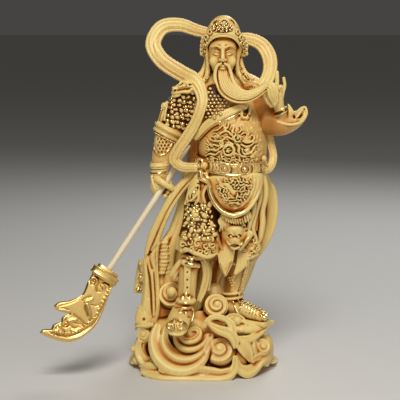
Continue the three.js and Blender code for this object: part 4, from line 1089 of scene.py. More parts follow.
draw(legs, [curl((-16.8, 30.6), 1.9, 1.2, 1, 2.6, 0.42, 0.3),
    curl((-12.4, 30.8), 1.9, 1.2, -1, 0.4, 0.42, 0.3)], height=0.7, trench=0.5, gilt=1.0)
draw(legs, """
    -18.6 32 0.4, -16.6 33.6 0.5, -13.8 34 0.5, -11 33 0.4 /
    -14.8 31.6 0.4, -14.4 29.4 0.5""", height=0.7, trench=0.5, gilt=1.0)
legs.sweep("""
    -19.6 -31 27.4 0.8 0.8, -16.4 -35.4 26.4 0.9 0.8, -11.8 -35.4 26.2 0.9 0.8, -8.6 -31.4 27.6 0.8 0.8""", UP,
    soft=0.3)

# left leg: thigh, knee cop, boot with its mail panel, ribbed shoe and pale sole
legs.sweep("26 0 106 10.5 10, 26.5 -2 90 9.6 9, 25.5 -3 72 7.8 8")
# painted shade down the inner front of the left shin
legs.sweep("""
    25 -3 72 7.2 7.4, 21.5 -3.5 57 6.8 6.4, 18.6 -3.5 45 5.6 5.8, 17 -3.5 34 5.8 5.8""",
    gilt=lambda u, v, s: -0.6 * ease(0.25, 0.5, u) * (v > 0))
legs.sweep("15.5 -2 35 5.8 5, 22 -7 34.5 5.8 5, 29 -12.5 32.8 5.2 4.2, 34.5 -16.4 31.6 4 3.2", UP, blunt=0.8)
legs.sweep("15 -2 28.6 6.4 2, 26 -10 28.4 6.6 2, 36.6 -17.6 27.8 4.4 1.8", UP, square=0.7, soft=0.3)
for z, wide, deep, x in ((43.4, 6.2, 6.4, 17.4), (40.6, 6.5, 6.8, 17.2), (61, 7.2, 7, 22.4)):
    ring = [[x + wide * math.sin(a), -3.5 - deep * math.cos(a), z + 0.5 * math.sin(a), 0.55, 0.8]
        for a in np.linspace(-1.9, 1.9, 9)]
    legs.sweep(ring, UP, soft=0.3, gilt=0.0)
draw(legs, "25.4 66 0.6, 26 59.6 0.6, 24.6 53 0.7, 23.6 48.9 0.6, 22.6 44 0.6", height=0.7, gilt=1.0)
draw(legs, """
    13.8 53.4 0.4, 14.6 49.6 0.4, 15.7 46.6 0.3 /
    20.8 54.2 0.4, 19.2 50 0.4, 15.9 46.6 0.3""", height=0.5)
for row in range(4):
    for k in range(4 - row):
        legs.blob((15.3 + 1.35 * k + 0.5 * row, -9.7 + 0.3 * k, 52.6 - 1.4 * row), (0.6, 0.7, 0.6), soft=0.3,
            gilt=0.3)
draw(legs, """
    17.6 39 0.5, 18.6 37 0.6, 19.2 34.4 0.6, 21 32.2 0.5 /
    20.6 39.2 0.4, 21.6 37.4 0.5, 21.4 34.6 0.5""", height=0.7, gilt=1.0)
for k in range(7):
    x, y, z = 22.8 + 1.6 * k, -8.9 - 1.18 * k, 39 - 0.55 * k
    rib = [[x - 2.6, y - 3.2, z - 3.8, 0.45, 0.7], [x - 0.6, y - 1.4, z - 0.6, 0.55, 0.9],
        [x + 0.9, y + 0.9, z - 0.2, 0.5, 0.8], [x + 2.4, y + 2.8, z - 2.8, 0.4, 0.6]]
    legs.sweep(rib, (0.4, -0.6, 0.8), soft=0.3, gilt=1.0)
for x, y, z, size in ((34.6, -18.2, 33.6, 1.7), (36.4, -18.6, 32.6, 1.5), (35.2, -19.6, 31.6, 1.6),
        (33.4, -19.6, 32.8, 1.4)):
    legs.blob((x, y, z), (size, size, size), gilt=1.0, soft=0.3)

# %% [markdown]
# ### Apron, beast's face and pendants
# The apron is a shield form with a gilded rim, a smooth border inside it, and a field of cut ornament: small
# curls, crescents and dots set close together, the way a carver fills ground.

# %% Apron
legs.sweep("""
    17.5 -14 110.6 16.4 7, 18 -15 104 15.8 6.4, 18.5 -15.5 97 12.4 5.4, 18.8 -15.5 91.5 5 3.6""", blunt=0.4)
rim = table("""
    2.6 -14.6 113 1.2 1.3, 3.6 -17 108 1.3 1.4, 4.4 -18.4 102.5 1.3 1.5, 7.2 -20 96.6 1.4 1.6,
    12 -21.4 92 1.5 1.7, 18 -21.8 90.2 1.5 1.7, 23.6 -21.2 92.2 1.2 1.4, 28.6 -19.4 97.2 1 1.2,
    32 -16.6 104.4 0.9 1, 33.6 -13.6 111.6 0.8 1""")
legs.sweep(rim[:7], (0, -1, -0.2), gilt=1.0, soft=0.3)
legs.sweep(rim[5:], (0.2, -1, -0.2), gilt=0.0, soft=0.3)
draw(legs, """
    29.4 109.6 0.3, 28.6 105 0.35, 25.8 99.4 0.35, 22 95.4 0.35, 18 93.6 0.35 /
    31.4 109.6 0.3, 30.6 105 0.3, 27.6 98.4 0.3, 23.4 93.9 0.3""", height=0.5)
draw(legs, "8.2 110.6 0.5, 10.4 107.4 0.6, 13.4 103.4 0.6, 17 99.6 0.5", height=0.8)
draw(legs, "12.4 108.2 1.5, 15 105.6 1.6, 17.8 102.6 1.2", height=0.9)
# ornament on the field of the apron
ornament = table("""
    12.8 109.8 1.2 -1 2, 16.4 109.4 1.5 1 1.2, 20.4 108.6 1.8 -1 0.4, 24.4 108.4 1.7 1 2.4,
    18.6 106.4 1.3 1 0, 22.2 104.6 1.8 -1 1.6, 20.6 100.6 2 1 3, 24.6 102.4 1.2 -1 0.2, 10.2 102 1.5 -1 1.4,
    13.2 98.4 1.6 1 0.6, 16.2 96.6 1.3 -1 2.6, 20 96.8 1.1 1 1.2, 26.8 106 1.1 1 0.5, 8.6 106 1 -1 0.5""")
for x, z, radius, hand, start in ornament:
    draw(legs, [curl((x, z), radius, 1.35, hand, start, 0.36, 0.25)], height=0.75, trench=0.4)
for row, (x0, z0, number) in enumerate(((13, 110.2, 8), (16, 110.4, 7), (19.4, 110.4, 6))):
    for k in range(number):
        x, z = x0 + 1.2 * k, z0 - (1.1 - 0.12 * row) * k
        draw(legs, [[[x, z, 0.32, 1], [x + 1.1, z + 0.9, 0.32, 1]]], height=0.6, trench=0.3)
# a fret of square corners, and dots that fill the lower field
for k in range(3):
    x, z = 7.8 + 1.7 * k, 106 - 2.5 * k
    draw(legs, [[[x, z, 0.32, 1], [x + 1.5, z + 0.9, 0.32, 1], [x + 2.1, z - 0.5, 0.32, 1],
        [x + 0.9, z - 1.1, 0.32, 1]]], height=0.6, trench=0.35)
for k in range(22):
    x, z = 11.4 + 0.7 * k, 95.6 + 0.42 * abs(k - 10) + 1.5 * (k % 3)
    dot(legs, x, z, 0.4, 0.34, height=0.6, trench=0.3)
# short cuts between the curls, as a carver fills a ground
rng = np.random.default_rng(31)
for row in range(11):
    for column in range(12):
        x, z = 8.6 + 1.75 * column + 0.8 * (row % 2), 110.4 - 1.7 * row
        x, z = x + rng.uniform(-0.35, 0.35), z + rng.uniform(-0.35, 0.35)
        angle = rng.uniform(0, math.pi)
        inside = ((x - 18.4) / 9.8) ** 2 + ((112.6 - z) / 17.6) ** 2 < 1
        on_bar = abs(108.2 - 1.03 * (x - 12.4) - z) < 2.2 and x < 19
        if inside and not on_bar:
            step = 0.55 * np.array([math.cos(angle), math.sin(angle)])
            draw(legs, [[[x - step[0], z - step[1], 0.36, 1], [x + step[0], z + step[1], 0.36, 1]]],
                height=0.55, trench=0.35)
# ribbed fringe under the rim
for k in range(10):
    x = 12.8 + 1.35 * k
    z = 89.6 - 2.2 * math.sin(math.pi * (k + 0.8) / 11)
    legs.sweep([[x, -20.6, z + 0.8, 0.5, 0.9], [x + 0.7, -20.4, z - 2.2, 0.5, 0.8]], soft=0.2,
        gilt=0.7 * (2 < k < 8))
legs.sweep("12 -16.8 90 3 3, 18.5 -17.4 87.4 3 3, 26 -16 90 3 3", (0, -1, 0.2))

# the beast's face
BEAST = 18.2
legs.blob((BEAST, -13.5, 78.2), (7.6, 6, 7.4))
legs.blob((BEAST, -16.6, 81.4), (5, 4.4, 3.6))
legs.blob((BEAST, -18.4, 75.4), (3.3, 3, 2.6))
legs.blob((BEAST, -20.8, 76.2), (1.3, 1.4, 1.1))
for side in (-1, 1):
    eye = BEAST + 2.1 * side
    # painted shade in the eye sockets
    legs.blob((eye, -19, 78.2), (1.6, 1.4, 1.2), carve=True, soft=0.4, gilt=-0.8)
    legs.blob((eye, -19.2, 78), (0.95, 1.1, 0.85), soft=0.2, gilt=0.8)
    legs.sweep([[BEAST + 0.7 * side, -19.8, 78.8, 0.6, 0.8], [eye, -19.9, 80.1, 0.7, 0.9],
        [BEAST + 4 * side, -18.4, 79.2, 0.5, 0.7]], soft=0.3)
    legs.blob((BEAST + 1.2 * side, -20.8, 75.2), (0.8, 0.9, 0.7), soft=0.3)
    legs.sweep([[BEAST + 0.9 * side, -20.6, 74.4, 0.6, 0.7], [BEAST + 3 * side, -19.2, 73.4, 0.7, 0.8],
        [BEAST + 4.4 * side, -17.4, 75.4, 0.5, 0.6]], soft=0.3)
    legs.blob((BEAST + 1.4 * side, -20, 72.6), (0.35, 0.6, 0.7), soft=0.1)
    for k in range(4 if side > 0 else 0):
        x = BEAST + side * (4.4 + 0.9 * k)
        z = 83.4 - 2.3 * k
        legs.sweep([[x - 1.2 * side, -17, z - 1, 0.6, 1], [x + 0.6 * side, -16.2 + 0.4 * k, z + 0.8, 0.8, 1.1],
            [x + 1.7 * side, -14.6 + 0.4 * k, z - 0.6, 0.5, 0.7]], soft=0.25)
# painted shade in the mouth
legs.blob((BEAST, -20, 73), (2.3, 2, 0.9), carve=True, soft=0.4, gilt=-0.8)
legs.sweep([[BEAST - 2.4, -18.6, 72, 0.6, 0.8], [BEAST, -20, 71.1, 0.7, 0.9],
    [BEAST + 2.6, -18.6, 72, 0.6, 0.8]], soft=0.3)
for k in range(6):
    x = 9.2 + 1.25 * k
    legs.sweep([[x + 1.8, -17.2, 89, 0.6, 0.9], [x + 0.2, -18, 86.4, 0.65, 1],
        [x + 1.2, -17.8, 83.6, 0.55, 0.9], [x + 0.5 + 0.3 * k, -17.2, 80.6 + 0.5 * k, 0.4, 0.6]], soft=0.25)
for k in range(3):
    x = 11.2 + 0.8 * k
    legs.sweep([[x, -15.4, 82, 0.6, 0.9], [x + 0.8, -15.6, 78, 0.65, 1], [x + 0.4, -15.2, 74.4, 0.5, 0.8],
        [x + 1.6, -15.4, 71.6, 0.4, 0.6]], soft=0.25)
# pendants under the face, with gilded borders
legs.sweep("""
    14.6 -14.5 77 4.4 1.5, 13.6 -16 68 4.7 1.4, 13.2 -16.5 61 3.6 1.2, 13.1 -17 55 0.6 0.7 /
    24.6 -12.4 78 3.6 1.5, 24 -13.4 69 3.8 1.4, 22.4 -14 62 3.2 1.2, 18.6 -14.6 55.6 0.9 0.7""", blunt=0.3)
for edge in ("9.9 -17.8 63.4 0.4 0.6, 11.2 -18.1 60 0.55 0.7, 12.9 -18.2 56.2 0.4 0.5",
        "16.5 -17.8 63.8 0.45 0.6, 15.3 -18.1 60.2 0.7 0.8, 13.5 -18.2 56.2 0.5 0.6"):
    legs.sweep(edge, soft=0.2, gilt=1.0)
legs.sweep("7.4 -15 80 1.4 1.6, 8.8 -16 75 1.5 1.6, 11.2 -16.6 70.6 0.7 1", soft=0.3)
draw(legs, "8.6 76.6 0.4, 10 73.4 0.4, 11.6 70.6 0.35", height=0.6, gilt=1.0)
# a line of beads down the outer edge of the left boot
for x, z in through([[26, 63.6], [25.3, 59.5], [24, 55.9], [23.2, 51.2], [22.2, 46.9], [21.2, 42.9]], [3] * 5):
    dot(legs, x, z, 0.5, 0.6, height=1.0, trench=0.35, gilt=0.6)
# strap across the left thigh with a painted highlight on its edge, and the small beast on the knee
legs.sweep("27.4 -14.6 79.6 2.2 1.6, 24 -16 75 2.2 1.6, 20.8 -16.6 70.4 1.6 1.4", (0.3, -1, 0), soft=0.4)
legs.blobs("27.6 -9.5 71 5.6 4.6 5.6")
for side in (-1, 1):
    legs.blob((27.8 + 1.7 * side, -13.6, 71.8), (0.9, 0.9, 0.8), soft=0.25)
    legs.sweep([[27.8 + 0.6 * side, -14, 72.4, 0.5, 0.7], [27.8 + 2.4 * side, -13.6, 73.8, 0.6, 0.8],
        [27.8 + 4.2 * side, -12, 72.4, 0.4, 0.6]], soft=0.25)
    legs.sweep([[27.8 + 0.8 * side, -14, 68.4, 0.5, 0.7], [27.8 + 3 * side, -12.8, 68.8, 0.6, 0.7],
        [27.8 + 4.6 * side, -11, 70.6, 0.4, 0.5]], soft=0.25)
legs.blobs("27.8 -14.2 70.2 1.3 1.2 1.1", soft=0.3)
draw(legs, [
    curl((29.6, 74.2), 1.5, 1.2, -1, 2.6, 0.4, 0.3), curl((24, 69.6), 1.3, 1.1, 1, 2, 0.36, 0.3),
    curl((31.2, 70.2), 1.3, 1.1, -1, 1, 0.36, 0.3), curl((27.6, 67.2), 1.2, 1.1, 1, 4, 0.36, 0.3),
], height=0.8, trench=0.4)
legs.sweep("21.6 -12.4 66.4 1 1.2, 26 -13 64.8 1.1 1.2, 31.6 -10 66.6 1 1.2", (0, -1, -0.2), soft=0.4)

# painted highlight: a gilded line where light catches the strap's edge
legs.sweep("""
    26.4 -18.2 77.8 0.6 0.7, 23.8 -19 74.2 1 0.8, 21 -19 70.4 0.6 0.6""", (0.3, -1, 0), soft=0.2, gilt=1.0)

# folds of the robe at the right, and the cloth thrown over the right thigh
for fold in (
    """
        34 -6 112 2 2.2, 35.4 -7 101 2.4 2.2, 33.6 -8.4 91 2.2 2, 34 -8.6 84 2 1.8, 33 -8.6 76 1.6 1.4,
        32.2 -9 72.6 0.8 0.8""",
    """
        31.8 -9.6 110 1.6 1.8, 32.2 -11 99 1.8 1.8, 30 -12 90 1.6 1.6, 28.6 -12.4 81 1.4 1.4,
        31 -11 74.6 0.8 0.8""",
    "29.6 -13 100 1.3 1.6, 28.8 -14 92 1.5 1.6, 26.6 -14.6 84 1.2 1.4, 25.6 -14.6 79 0.8 1",
    "28.4 -9 104 2.6 2.2, 30 -9.6 92 2.6 2, 29.6 -9 80 2 1.8",
):
    legs.sweep(fold, (0.4, -1, 0), soft=0.5)
cloth = table("1 -14 113 4.3 2.8, -2 -15 105 5.8 3.4, -3.5 -15.5 98 6.2 2.8")
legs.sweep(cloth, relief=pleats(2, 1.0),
    gilt=lambda u, v, s: np.where((np.abs(u - 0.1) < 0.3) & (s < 9), 0.8, 0.0))
legs.sweep("""
    -1 -17.6 114 1.4 1.4, -0.4 -18.2 110.6 1.6 1.6, 3 -18.6 108.4 1.2 1.4, 4.6 -18.4 105.6 0.8 1""", soft=0.4,
    gilt=0.6)
legs.sweep("""
    -2.4 -17.4 108.6 1.2 1.2, -5.4 -17 104.6 1.4 1.2, -7.6 -16 99.6 1.2 1.2, -9.4 -15 95.6 0.8 1""", soft=0.4)
# painted shade in a hollow of the cloth thrown over the thigh
draw(legs, "0.4 105 1.4, 0.6 101 2.4, 0 97 2", height=0.4, carve=True, gilt=-0.6)
draw(legs, """
    -8.2 97 0.6, -8 100 0.7, -6.6 103.4 0.7, -4 106 0.7, -1.8 106.4 0.6, -1.9 103.8 0.6, -3.6 100.6 0.7,
    -6 98 0.6 /
    -6.6 99.6 0.4, -6 102.2 0.45, -4.2 104.2 0.45, -3 104.2 0.4, -3.6 102.2 0.4, -5 100.4 0.4""", height=1.0,
    trench=0.55)
legs.blobs("-4.7 -18.6 102.1 0.8 1 1.5 0 28 0", soft=0.2, gilt=0.9)
draw(legs, "-3.4 107 0.35, -3.4 103 0.35, -5.6 98.4 0.35, -7.6 97.4 0.35", height=0.6)
for fold in ("2.4 -17.8 106.4 0.8 1, 0.6 -17.6 101 0.9 1, 1.8 -16.6 96.4 0.7 0.8",
        "-1.6 -17.8 103 0.7 1, -2.4 -17.4 98 0.8 1, -4 -16.6 95.6 0.6 0.8"):
    legs.sweep(fold, soft=0.4)
# ruffle of cut cloud scrolls above the knee
for centre, radius, hand, start in (((-10.6, 73.4), 1.7, 1, 0), ((-6.8, 75), 1.9, -1, 2),
        ((-2.4, 74.4), 2, 1, 1), ((2, 73.4), 1.8, -1, 0.5), ((5.8, 73.4), 1.6, 1, 3),
        ((-8.8, 70.6), 1.3, -1, 3), ((-5.2, 71.2), 1.4, 1, 2), ((-1.2, 70.4), 1.4, -1, 0),
        ((2.6, 69.6), 1.4, 1, 1), ((6.2, 70), 1.1, -1, 2)):
    draw(legs, [curl(centre, radius * 1.15, 0.85, hand, start, 0.5, 0.3)], height=1.0, trench=0.45)
edge = table("""
    -13.4 -12 72.4 0.9 1.1, -11.6 -18 69.6 0.9 1.1, -8 -21.4 71 0.9 1.1, -4.4 -23 69.4 0.9 1.1,
    -1 -23 68.2 0.9 1.1, 2.8 -22 66.8 0.9 1.1, 6.4 -19 67.4 0.9 1.1, 9.4 -14 70.6 0.9 1.1""")
legs.sweep(edge, UP, soft=0.3)
carved("legs_and_apron", legs, boxwood, most=170000, fine=1.0, broad=3.2)

# %% [markdown]
# ## Chest, belly and belt
# The chest shows mail above a crossed lapel, and the round belly below it carries a dragon in the waves,
# a common motif on armour. It is cut as low relief: every stroke is raised between two sunken lines, so that
# the dark patina and painted shade in the lines draw the figure. The belt has gilded rims and bosses.

# %% Chest and belly
torso = Block((-14, -25, 107), (41, 22, 170), step=0.34)
body = table("""
    12 1 164 8.5 7, 11.5 1 159.5 17.6 8.8, 11 0.5 152 19.6 12.2, 13.2 -0.5 143 18 15.2, 16 -1.6 134 18.9 18.1,
    17.2 -2 126 19.5 19.6, 17.2 -2 119 18.7 18.9, 16.8 -1 111 17.8 17.6""")
torso.sweep(body, blunt=0.3, soft=1)
# painted shade on the robe's cloth inside the loop of the sash
torso.sweep("""
    2 3 138 3.4 7, -1.4 3.5 131 4.4 7.5, -3.2 4 123 4.6 8, -4 4 112 5 8""", soft=1.5, gilt=front_only(-0.62))
torso.sweep("-9 2 157 6 6.6, 1 2 161 6.4 6.8, 23 2 161.5 6.4 6.8, 31 2 158 6 6.6", UP, soft=1.5)
# pleats of the robe on the back
torso.sweep("12 7 160 15 5, 14 7.5 140 16 7, 16 8 116 17 8", BACK, relief=pleats(4, 1.2, both=False), soft=1.5)
# dark ground under the chest mail: stain, and painted shade between the mail
torso.sweep("8 -6.4 160 5 3, 7.6 -9.4 152 8.4 3.4, 5 -11.6 144 8.4 2.6", soft=1, gilt=-1.0)

# lapel with its gilded lower rim, and the curl that fastens it
lapel = table("""
    -3.8 -11.4 131.6 1.2 1.4, 1 -14.2 138 2.2 1.8, 8 -16.4 143.6 2.5 1.8, 15.5 -16 147 2.4 1.8,
    21.5 -14 149.6 1.9 1.6, 24.6 -12.4 149.4 1.2 1.3""")
torso.sweep(lapel, (-0.1, -1, 0.15), soft=0.4, relief=lambda u, v, s: -0.5 * bell(u, 0, 0.5))
draw(torso, "-1.6 131.2 0.5, 5.5 138.6 0.5, 10.4 141.2 0.6", height=0.6, trench=0.3)
draw(torso, "8.6 141 0.5, 13.9 142.9 0.65, 18.7 145 0.65, 22.4 147.4 0.5", height=0.8, gilt=1.0)
torso.sweep("""
    24.6 -12.6 150 1 1.2, 22.6 -14 148 0.9 1.1, 21.6 -14.8 145.8 0.9 1.1, 22.8 -15 143.8 0.9 1.1,
    25 -14.4 143.4 0.9 1.1 /
    26.6 -11.4 149.6 0.9 1, 26.4 -12.6 146.4 0.8 1, 25 -13.8 144.6 0.7 1""", soft=0.3)
torso.blobs("25.2 -14.4 144.2 1.3 1.3 1.2", gilt=1.0, soft=0.25)
torso.blobs("23.4 -14.6 147.8 1.1 1 1.4", carve=True, soft=0.3)
# scalloped fringe under the lapel
for k in range(9):
    x, z = 9.6 + 1.0 * k, 139.4 + 0.42 * k
    draw(torso, [[[x, z + 0.9, 0.32, 1], [x + 0.5, z - 1.1, 0.32, 1]]], height=0.55)

# the dragon: mane, head, coils, claws and the waves it rises from
dragon = strokes("""
    17.4 138.6 0.6, 16.6 136 0.9, 17.4 133 1 1.1, 18.6 130.4 1, 20.4 128 0.9, 20 125.6 0.9, 21.2 123.4 0.7,
    24 122.6 0.5 /
    16.4 134.6 0.6, 13.6 136.6 0.7, 10.6 135.6 0.7, 8.4 133.4 0.6, 5.4 133.4 0.4 0.8 /
    16.6 132.2 0.6, 13.6 133.4 0.7, 11.2 131.6 0.7, 8 131 0.6, 4.6 131.6 0.4 0.8 /
    17 129.6 0.6, 14.4 130.6 0.6, 12.2 128.4 0.7, 9.4 128.4 0.6, 6 129.2 0.4 0.8 /
    11.6 126.6 0.6, 13.6 129 0.8, 16.4 128.6 0.9, 17.6 126 0.9, 15.6 123.8 0.8, 12.6 124 0.6, 12 126 0.5 0.9 /
    10.4 128 0.5, 8 126 0.7, 5 126.4 0.7, 2.8 124.6 0.6 /
    9.6 125.4 0.5, 7.2 123.6 0.6, 4.4 124 0.6, 2.4 122.6 0.5 0.9 /
    22.2 131.4 0.6, 24.4 130.4 0.7, 27 130.8 0.7, 28.8 132.6 0.6, 27.6 134.4 0.5, 26.2 133.2 0.4 0.9 /
    21.6 129.4 0.6, 24 128.2 0.7, 26.6 128.6 0.6, 28.4 130 0.4 0.9 /
    22 127 0.5, 22.6 124.8 0.6, 25.2 124.2 0.6, 27.4 125.6 0.6, 29.4 128.4 0.6, 31 128.6 0.4 0.8 /
    20 135.6 0.5, 21.6 137.2 0.5, 21 139 0.4 0.8 /
    21.4 134.8 0.5, 23.4 135.8 0.5, 24.8 134.6 0.4 0.9, 24 133.4 0.35 0.8 /
    14.6 140.6 0.5, 14 138.4 0.6, 12.4 137.6 0.5 0.9 /
    6.6 136.6 0.4, 9 137.4 0.5, 11 139.4 0.4 0.8""")
dragon = [[[x, z, 0.85 * wide, high] for x, z, wide, high in line] for line in dragon]
draw(torso, dragon, height=0.95, trench=0.35)
draw(torso, [curl((19.6, 132.9), 2.2, 1.0, 1, 2.2, 0.5, 0.75)], height=0.9, trench=0.35)
torso.blobs("19.7 -21.6 133.2 0.9 0.9 0.9, 12.6 -18.6 138.4 0.9 0.8 0.8", soft=0.25)
waves = table("""
    8 133 1.5 1 0.4, 10.6 130 1.2 -1 1, 14.6 126.2 1.2 1 2, 5 128.8 1.2 -1 0.2, 3.4 126.6 1 1 2.4,
    6 121.6 1.5 1 1.2, 9.6 122 1.4 -1 0.4, 12.8 121.4 1.5 1 2.2, 16.4 121.4 1.3 -1 1, 18.4 123.8 1.2 1 0.4,
    24.8 126.2 1.2 1 1.4, 20 120.4 1.2 1 0.2, 27.6 122.4 1.2 -1 2, 24 120.6 1.1 -1 1, 30 124.4 1 1 0""")
for x, z, radius, hand, start in waves:
    draw(torso, [curl((x, z), radius, 1.25, hand, start, 0.36, 0.28)], height=0.7, trench=0.25)
for k in range(12):
    x, z = 3 + 2.45 * k, 120.9 - 1.7 * math.sin(math.pi * (k + 2) / 15)
    draw(torso, [[[x, z, 0.5, 1], [x + 0.7, z + 1.1, 0.4, 1]]], height=0.6)
# fine cuts that fill the ground between the coils and the waves
coils = np.vstack([through([spot[:2] for spot in line], [5] * (len(line) - 1)) for line in dragon])
rng = np.random.default_rng(12)
for row in range(13):
    for column in range(17):
        x = 2.4 + 1.6 * column + 0.8 * (row % 2) + rng.uniform(-0.4, 0.4)
        z = 119.6 + 1.55 * row + rng.uniform(-0.4, 0.4)
        plain = (x > 18.5 and z > 135.4) or x + 0.6 * z > 106.6 or z > 131.4 + 0.55 * x
        if not plain and np.min(np.hypot(coils[:, 0] - x, coils[:, 1] - z)) > 1.25:
            angle = rng.normal(-0.7, 0.6)
            step = 0.7 * np.array([math.cos(angle), math.sin(angle)])
            bend = 0.3 * np.array([-step[1], step[0]])
            draw(torso, [[[x - step[0], z - step[1], 0.34, 1], [x + bend[0], z + bend[1], 0.38, 1],
                [x + step[0], z + step[1], 0.34, 1]]], height=0.35, trench=0.22)
# pricked ground on the right side
rng = np.random.default_rng(11)
for _ in range(120):
    x, z = rng.uniform(20, 33.6), rng.uniform(122, 146)
    if x > 24 + 0.15 * (z - 130) or z > 137:
        angle = rng.uniform(0, math.pi)
        draw(torso, [[[x, z, 0.28, 1], [x + 0.9 * math.cos(angle), z + 0.9 * math.sin(angle), 0.28, 1]]],
            height=0.22)


# %% [markdown]
# ### Belt
# A belt of dark ground between two gilded rims goes round the waist, with bosses in rings and upright
# bars between them. Every part of it is placed by its angle round the waist, so the whole belt can be
# moved or widened in one function.


# %% Belt
def on_belt(angle, height=0.0, out=0.0):
    """A spot on the belt, by its angle round the waist in degrees from the front, plus to the right."""
    turn = math.radians(angle)
    rise = 2.6 * max(0.0, -math.sin(turn)) + 0.4 * max(0.0, math.sin(turn)) + 1.0 * (1 - math.cos(turn)) / 2
    reach = 19.7 + out, 19.4 + out
    return [16.6 + reach[0] * math.sin(turn), -1.4 - reach[1] * math.cos(turn), 115.3 + rise + height]


def facing_out(angle):
    return [math.sin(math.radians(angle)), -math.cos(math.radians(angle)), 0]


ring = list(range(-180, 181, 12))


def belt_colour(across, out, along):
    return np.where(np.abs(across) > 0.8, 1.0, -0.8)


torso.sweep([on_belt(a, 0, -0.6) + [2.7, 1.3] for a in ring], [facing_out(a) for a in ring], square=0.6,
    soft=0.3, gilt=belt_colour)
for side in (-3.0, 3.0):
    torso.sweep([on_belt(a, side, 0) + [0.6, 0.9] for a in ring], [facing_out(a) for a in ring], soft=0.3,
        gilt=1.0)
for angle, size, leaf in ((20.5, 1.15, 1.0), (-12, 0.95, 0.7), (62, 0.75, 0.5), (-48, 0.7, 0.7),
        (98, 0.9, 0.6), (140, 0.9, 0.6), (180, 1, 0.6), (-140, 0.9, 0.6), (-98, 0.9, 0.6)):
    centre, out = on_belt(angle), np.array(facing_out(angle))
    side = np.array([math.cos(math.radians(angle)), math.sin(math.radians(angle)), 0])
    ring_line = [[*(np.array(centre) + 2.5 * size * (math.cos(t) * side * 1.15 + math.sin(t) * np.array(UP))),
        0.5, 0.9] for t in np.linspace(0, 2 * math.pi, 13)]
    torso.sweep(ring_line, tuple(out), spacing=0.7, soft=0.25, gilt=0.7)
    torso.blob(np.array(centre) + 0.3 * out, (1.35 * size,) * 3, soft=0.2, gilt=leaf)
for angle in (-80, -66, -62, -36, -30, -25, 2, 6, 36, 40, 44, 48, 76, 80, 84, 116, 122, 158, 162, -116, -122,
        -158, -162):
    torso.sweep([on_belt(angle, -1.7, 0.3) + [0.5, 0.8], on_belt(angle + 1.5, 0, 0.5) + [0.65, 0.8],
        on_belt(angle, 1.7, 0.3) + [0.5, 0.8]], facing_out(angle), soft=0.25, gilt=0.55)
# knot of the sash in front of the belt
roll(torso, (0.9, -17, 117.4), 1.9, (-0.3, -1, 0.1), depth=2.4, hand=1, start=1, lip=0.35, knob=0.4, soft=0.4)
# the clasp ring at the left and the knob at the right, where the sash is tied
clasp, aside = np.array(on_belt(-58, 0.4, 1.2)), np.array([0.7, -0.7, 0])
torso.sweep([[*(clasp + 2.3 * (math.cos(t) * aside + math.sin(t) * np.array(UP))), 0.7, 0.8]
    for t in np.linspace(0, 2 * math.pi, 13)], (-0.7, -0.7, 0), spacing=0.7, soft=0.25, gilt=0.5)
torso.blob(on_belt(60, 5, 0.6), (1.9, 1.9, 1.7), soft=0.4)
for turn_by in (0, 1, 2):
    torso.blob(on_belt(60 + 4 * turn_by, 4.2 - 1.2 * turn_by, 1.4), (1.0, 1.0, 1.0), soft=0.25, gilt=0.6)
carved("torso", torso, boxwood, most=120000, fine=0.9, broad=3.0)

# %% [markdown]
# ## Mail, scales and beads with Geometry Nodes
# Mail is hundreds of nearly equal small forms. A carver repeats one cut, and a node tree repeats one form:
# the tree puts a low dome on every point of a mesh, turned to the wood's facing, with a little seeded
# disorder. Each dome carries its own hollow values, for painted shade at the foot and a painted highlight on
# the crown.

# %% Stud tree
stud_tree = bpy.data.node_groups.new("studs", "GeometryNodeTree")
for label, kind, value in (
    ("Points", "NodeSocketGeometry", None),
    ("Size", "NodeSocketVector", (0.001, 0.001, 0.0006)),
    ("Disorder", "NodeSocketFloat", 0.12),
    ("Seed", "NodeSocketInt", 1),
    ("Point", "NodeSocketFloat", 0.0),
    ("Gilt", "NodeSocketFloat", 0.0),
    ("Material", "NodeSocketMaterial", None),
):
    socket = stud_tree.interface.new_socket(label, in_out="INPUT", socket_type=kind)
    if value is not None:
        socket.default_value = value
stud_tree.interface.new_socket("Studs", in_out="OUTPUT", socket_type="NodeSocketGeometry")
asked = stud_tree.nodes.new("NodeGroupInput").outputs
dome = join(stud_tree, "GeometryNodeMeshUVSphere", {"Segments": 8, "Rings": 5, "Radius": 1.0}).outputs[0]
spot = stud_tree.nodes.new("GeometryNodeInputPosition").outputs[0]
split = join(stud_tree, "ShaderNodeSeparateXYZ", {0: spot}).outputs
# Point above zero draws the lower end of the form out into a tip, as on a scale
taper = sums(stud_tree, "MULTIPLY_ADD", sums(stud_tree, "MULTIPLY", split["Y"], asked["Point"]), -0.6, 1.0)
shaped = join(
    stud_tree, "ShaderNodeCombineXYZ", {"X": sums(stud_tree, "MULTIPLY", split["X"], taper), "Y": split["Y"],
    "Z": split["Z"]}
).outputs[0]
form = join(stud_tree, "GeometryNodeSetPosition", {"Geometry": dome, "Position": shaped}).outputs[0]
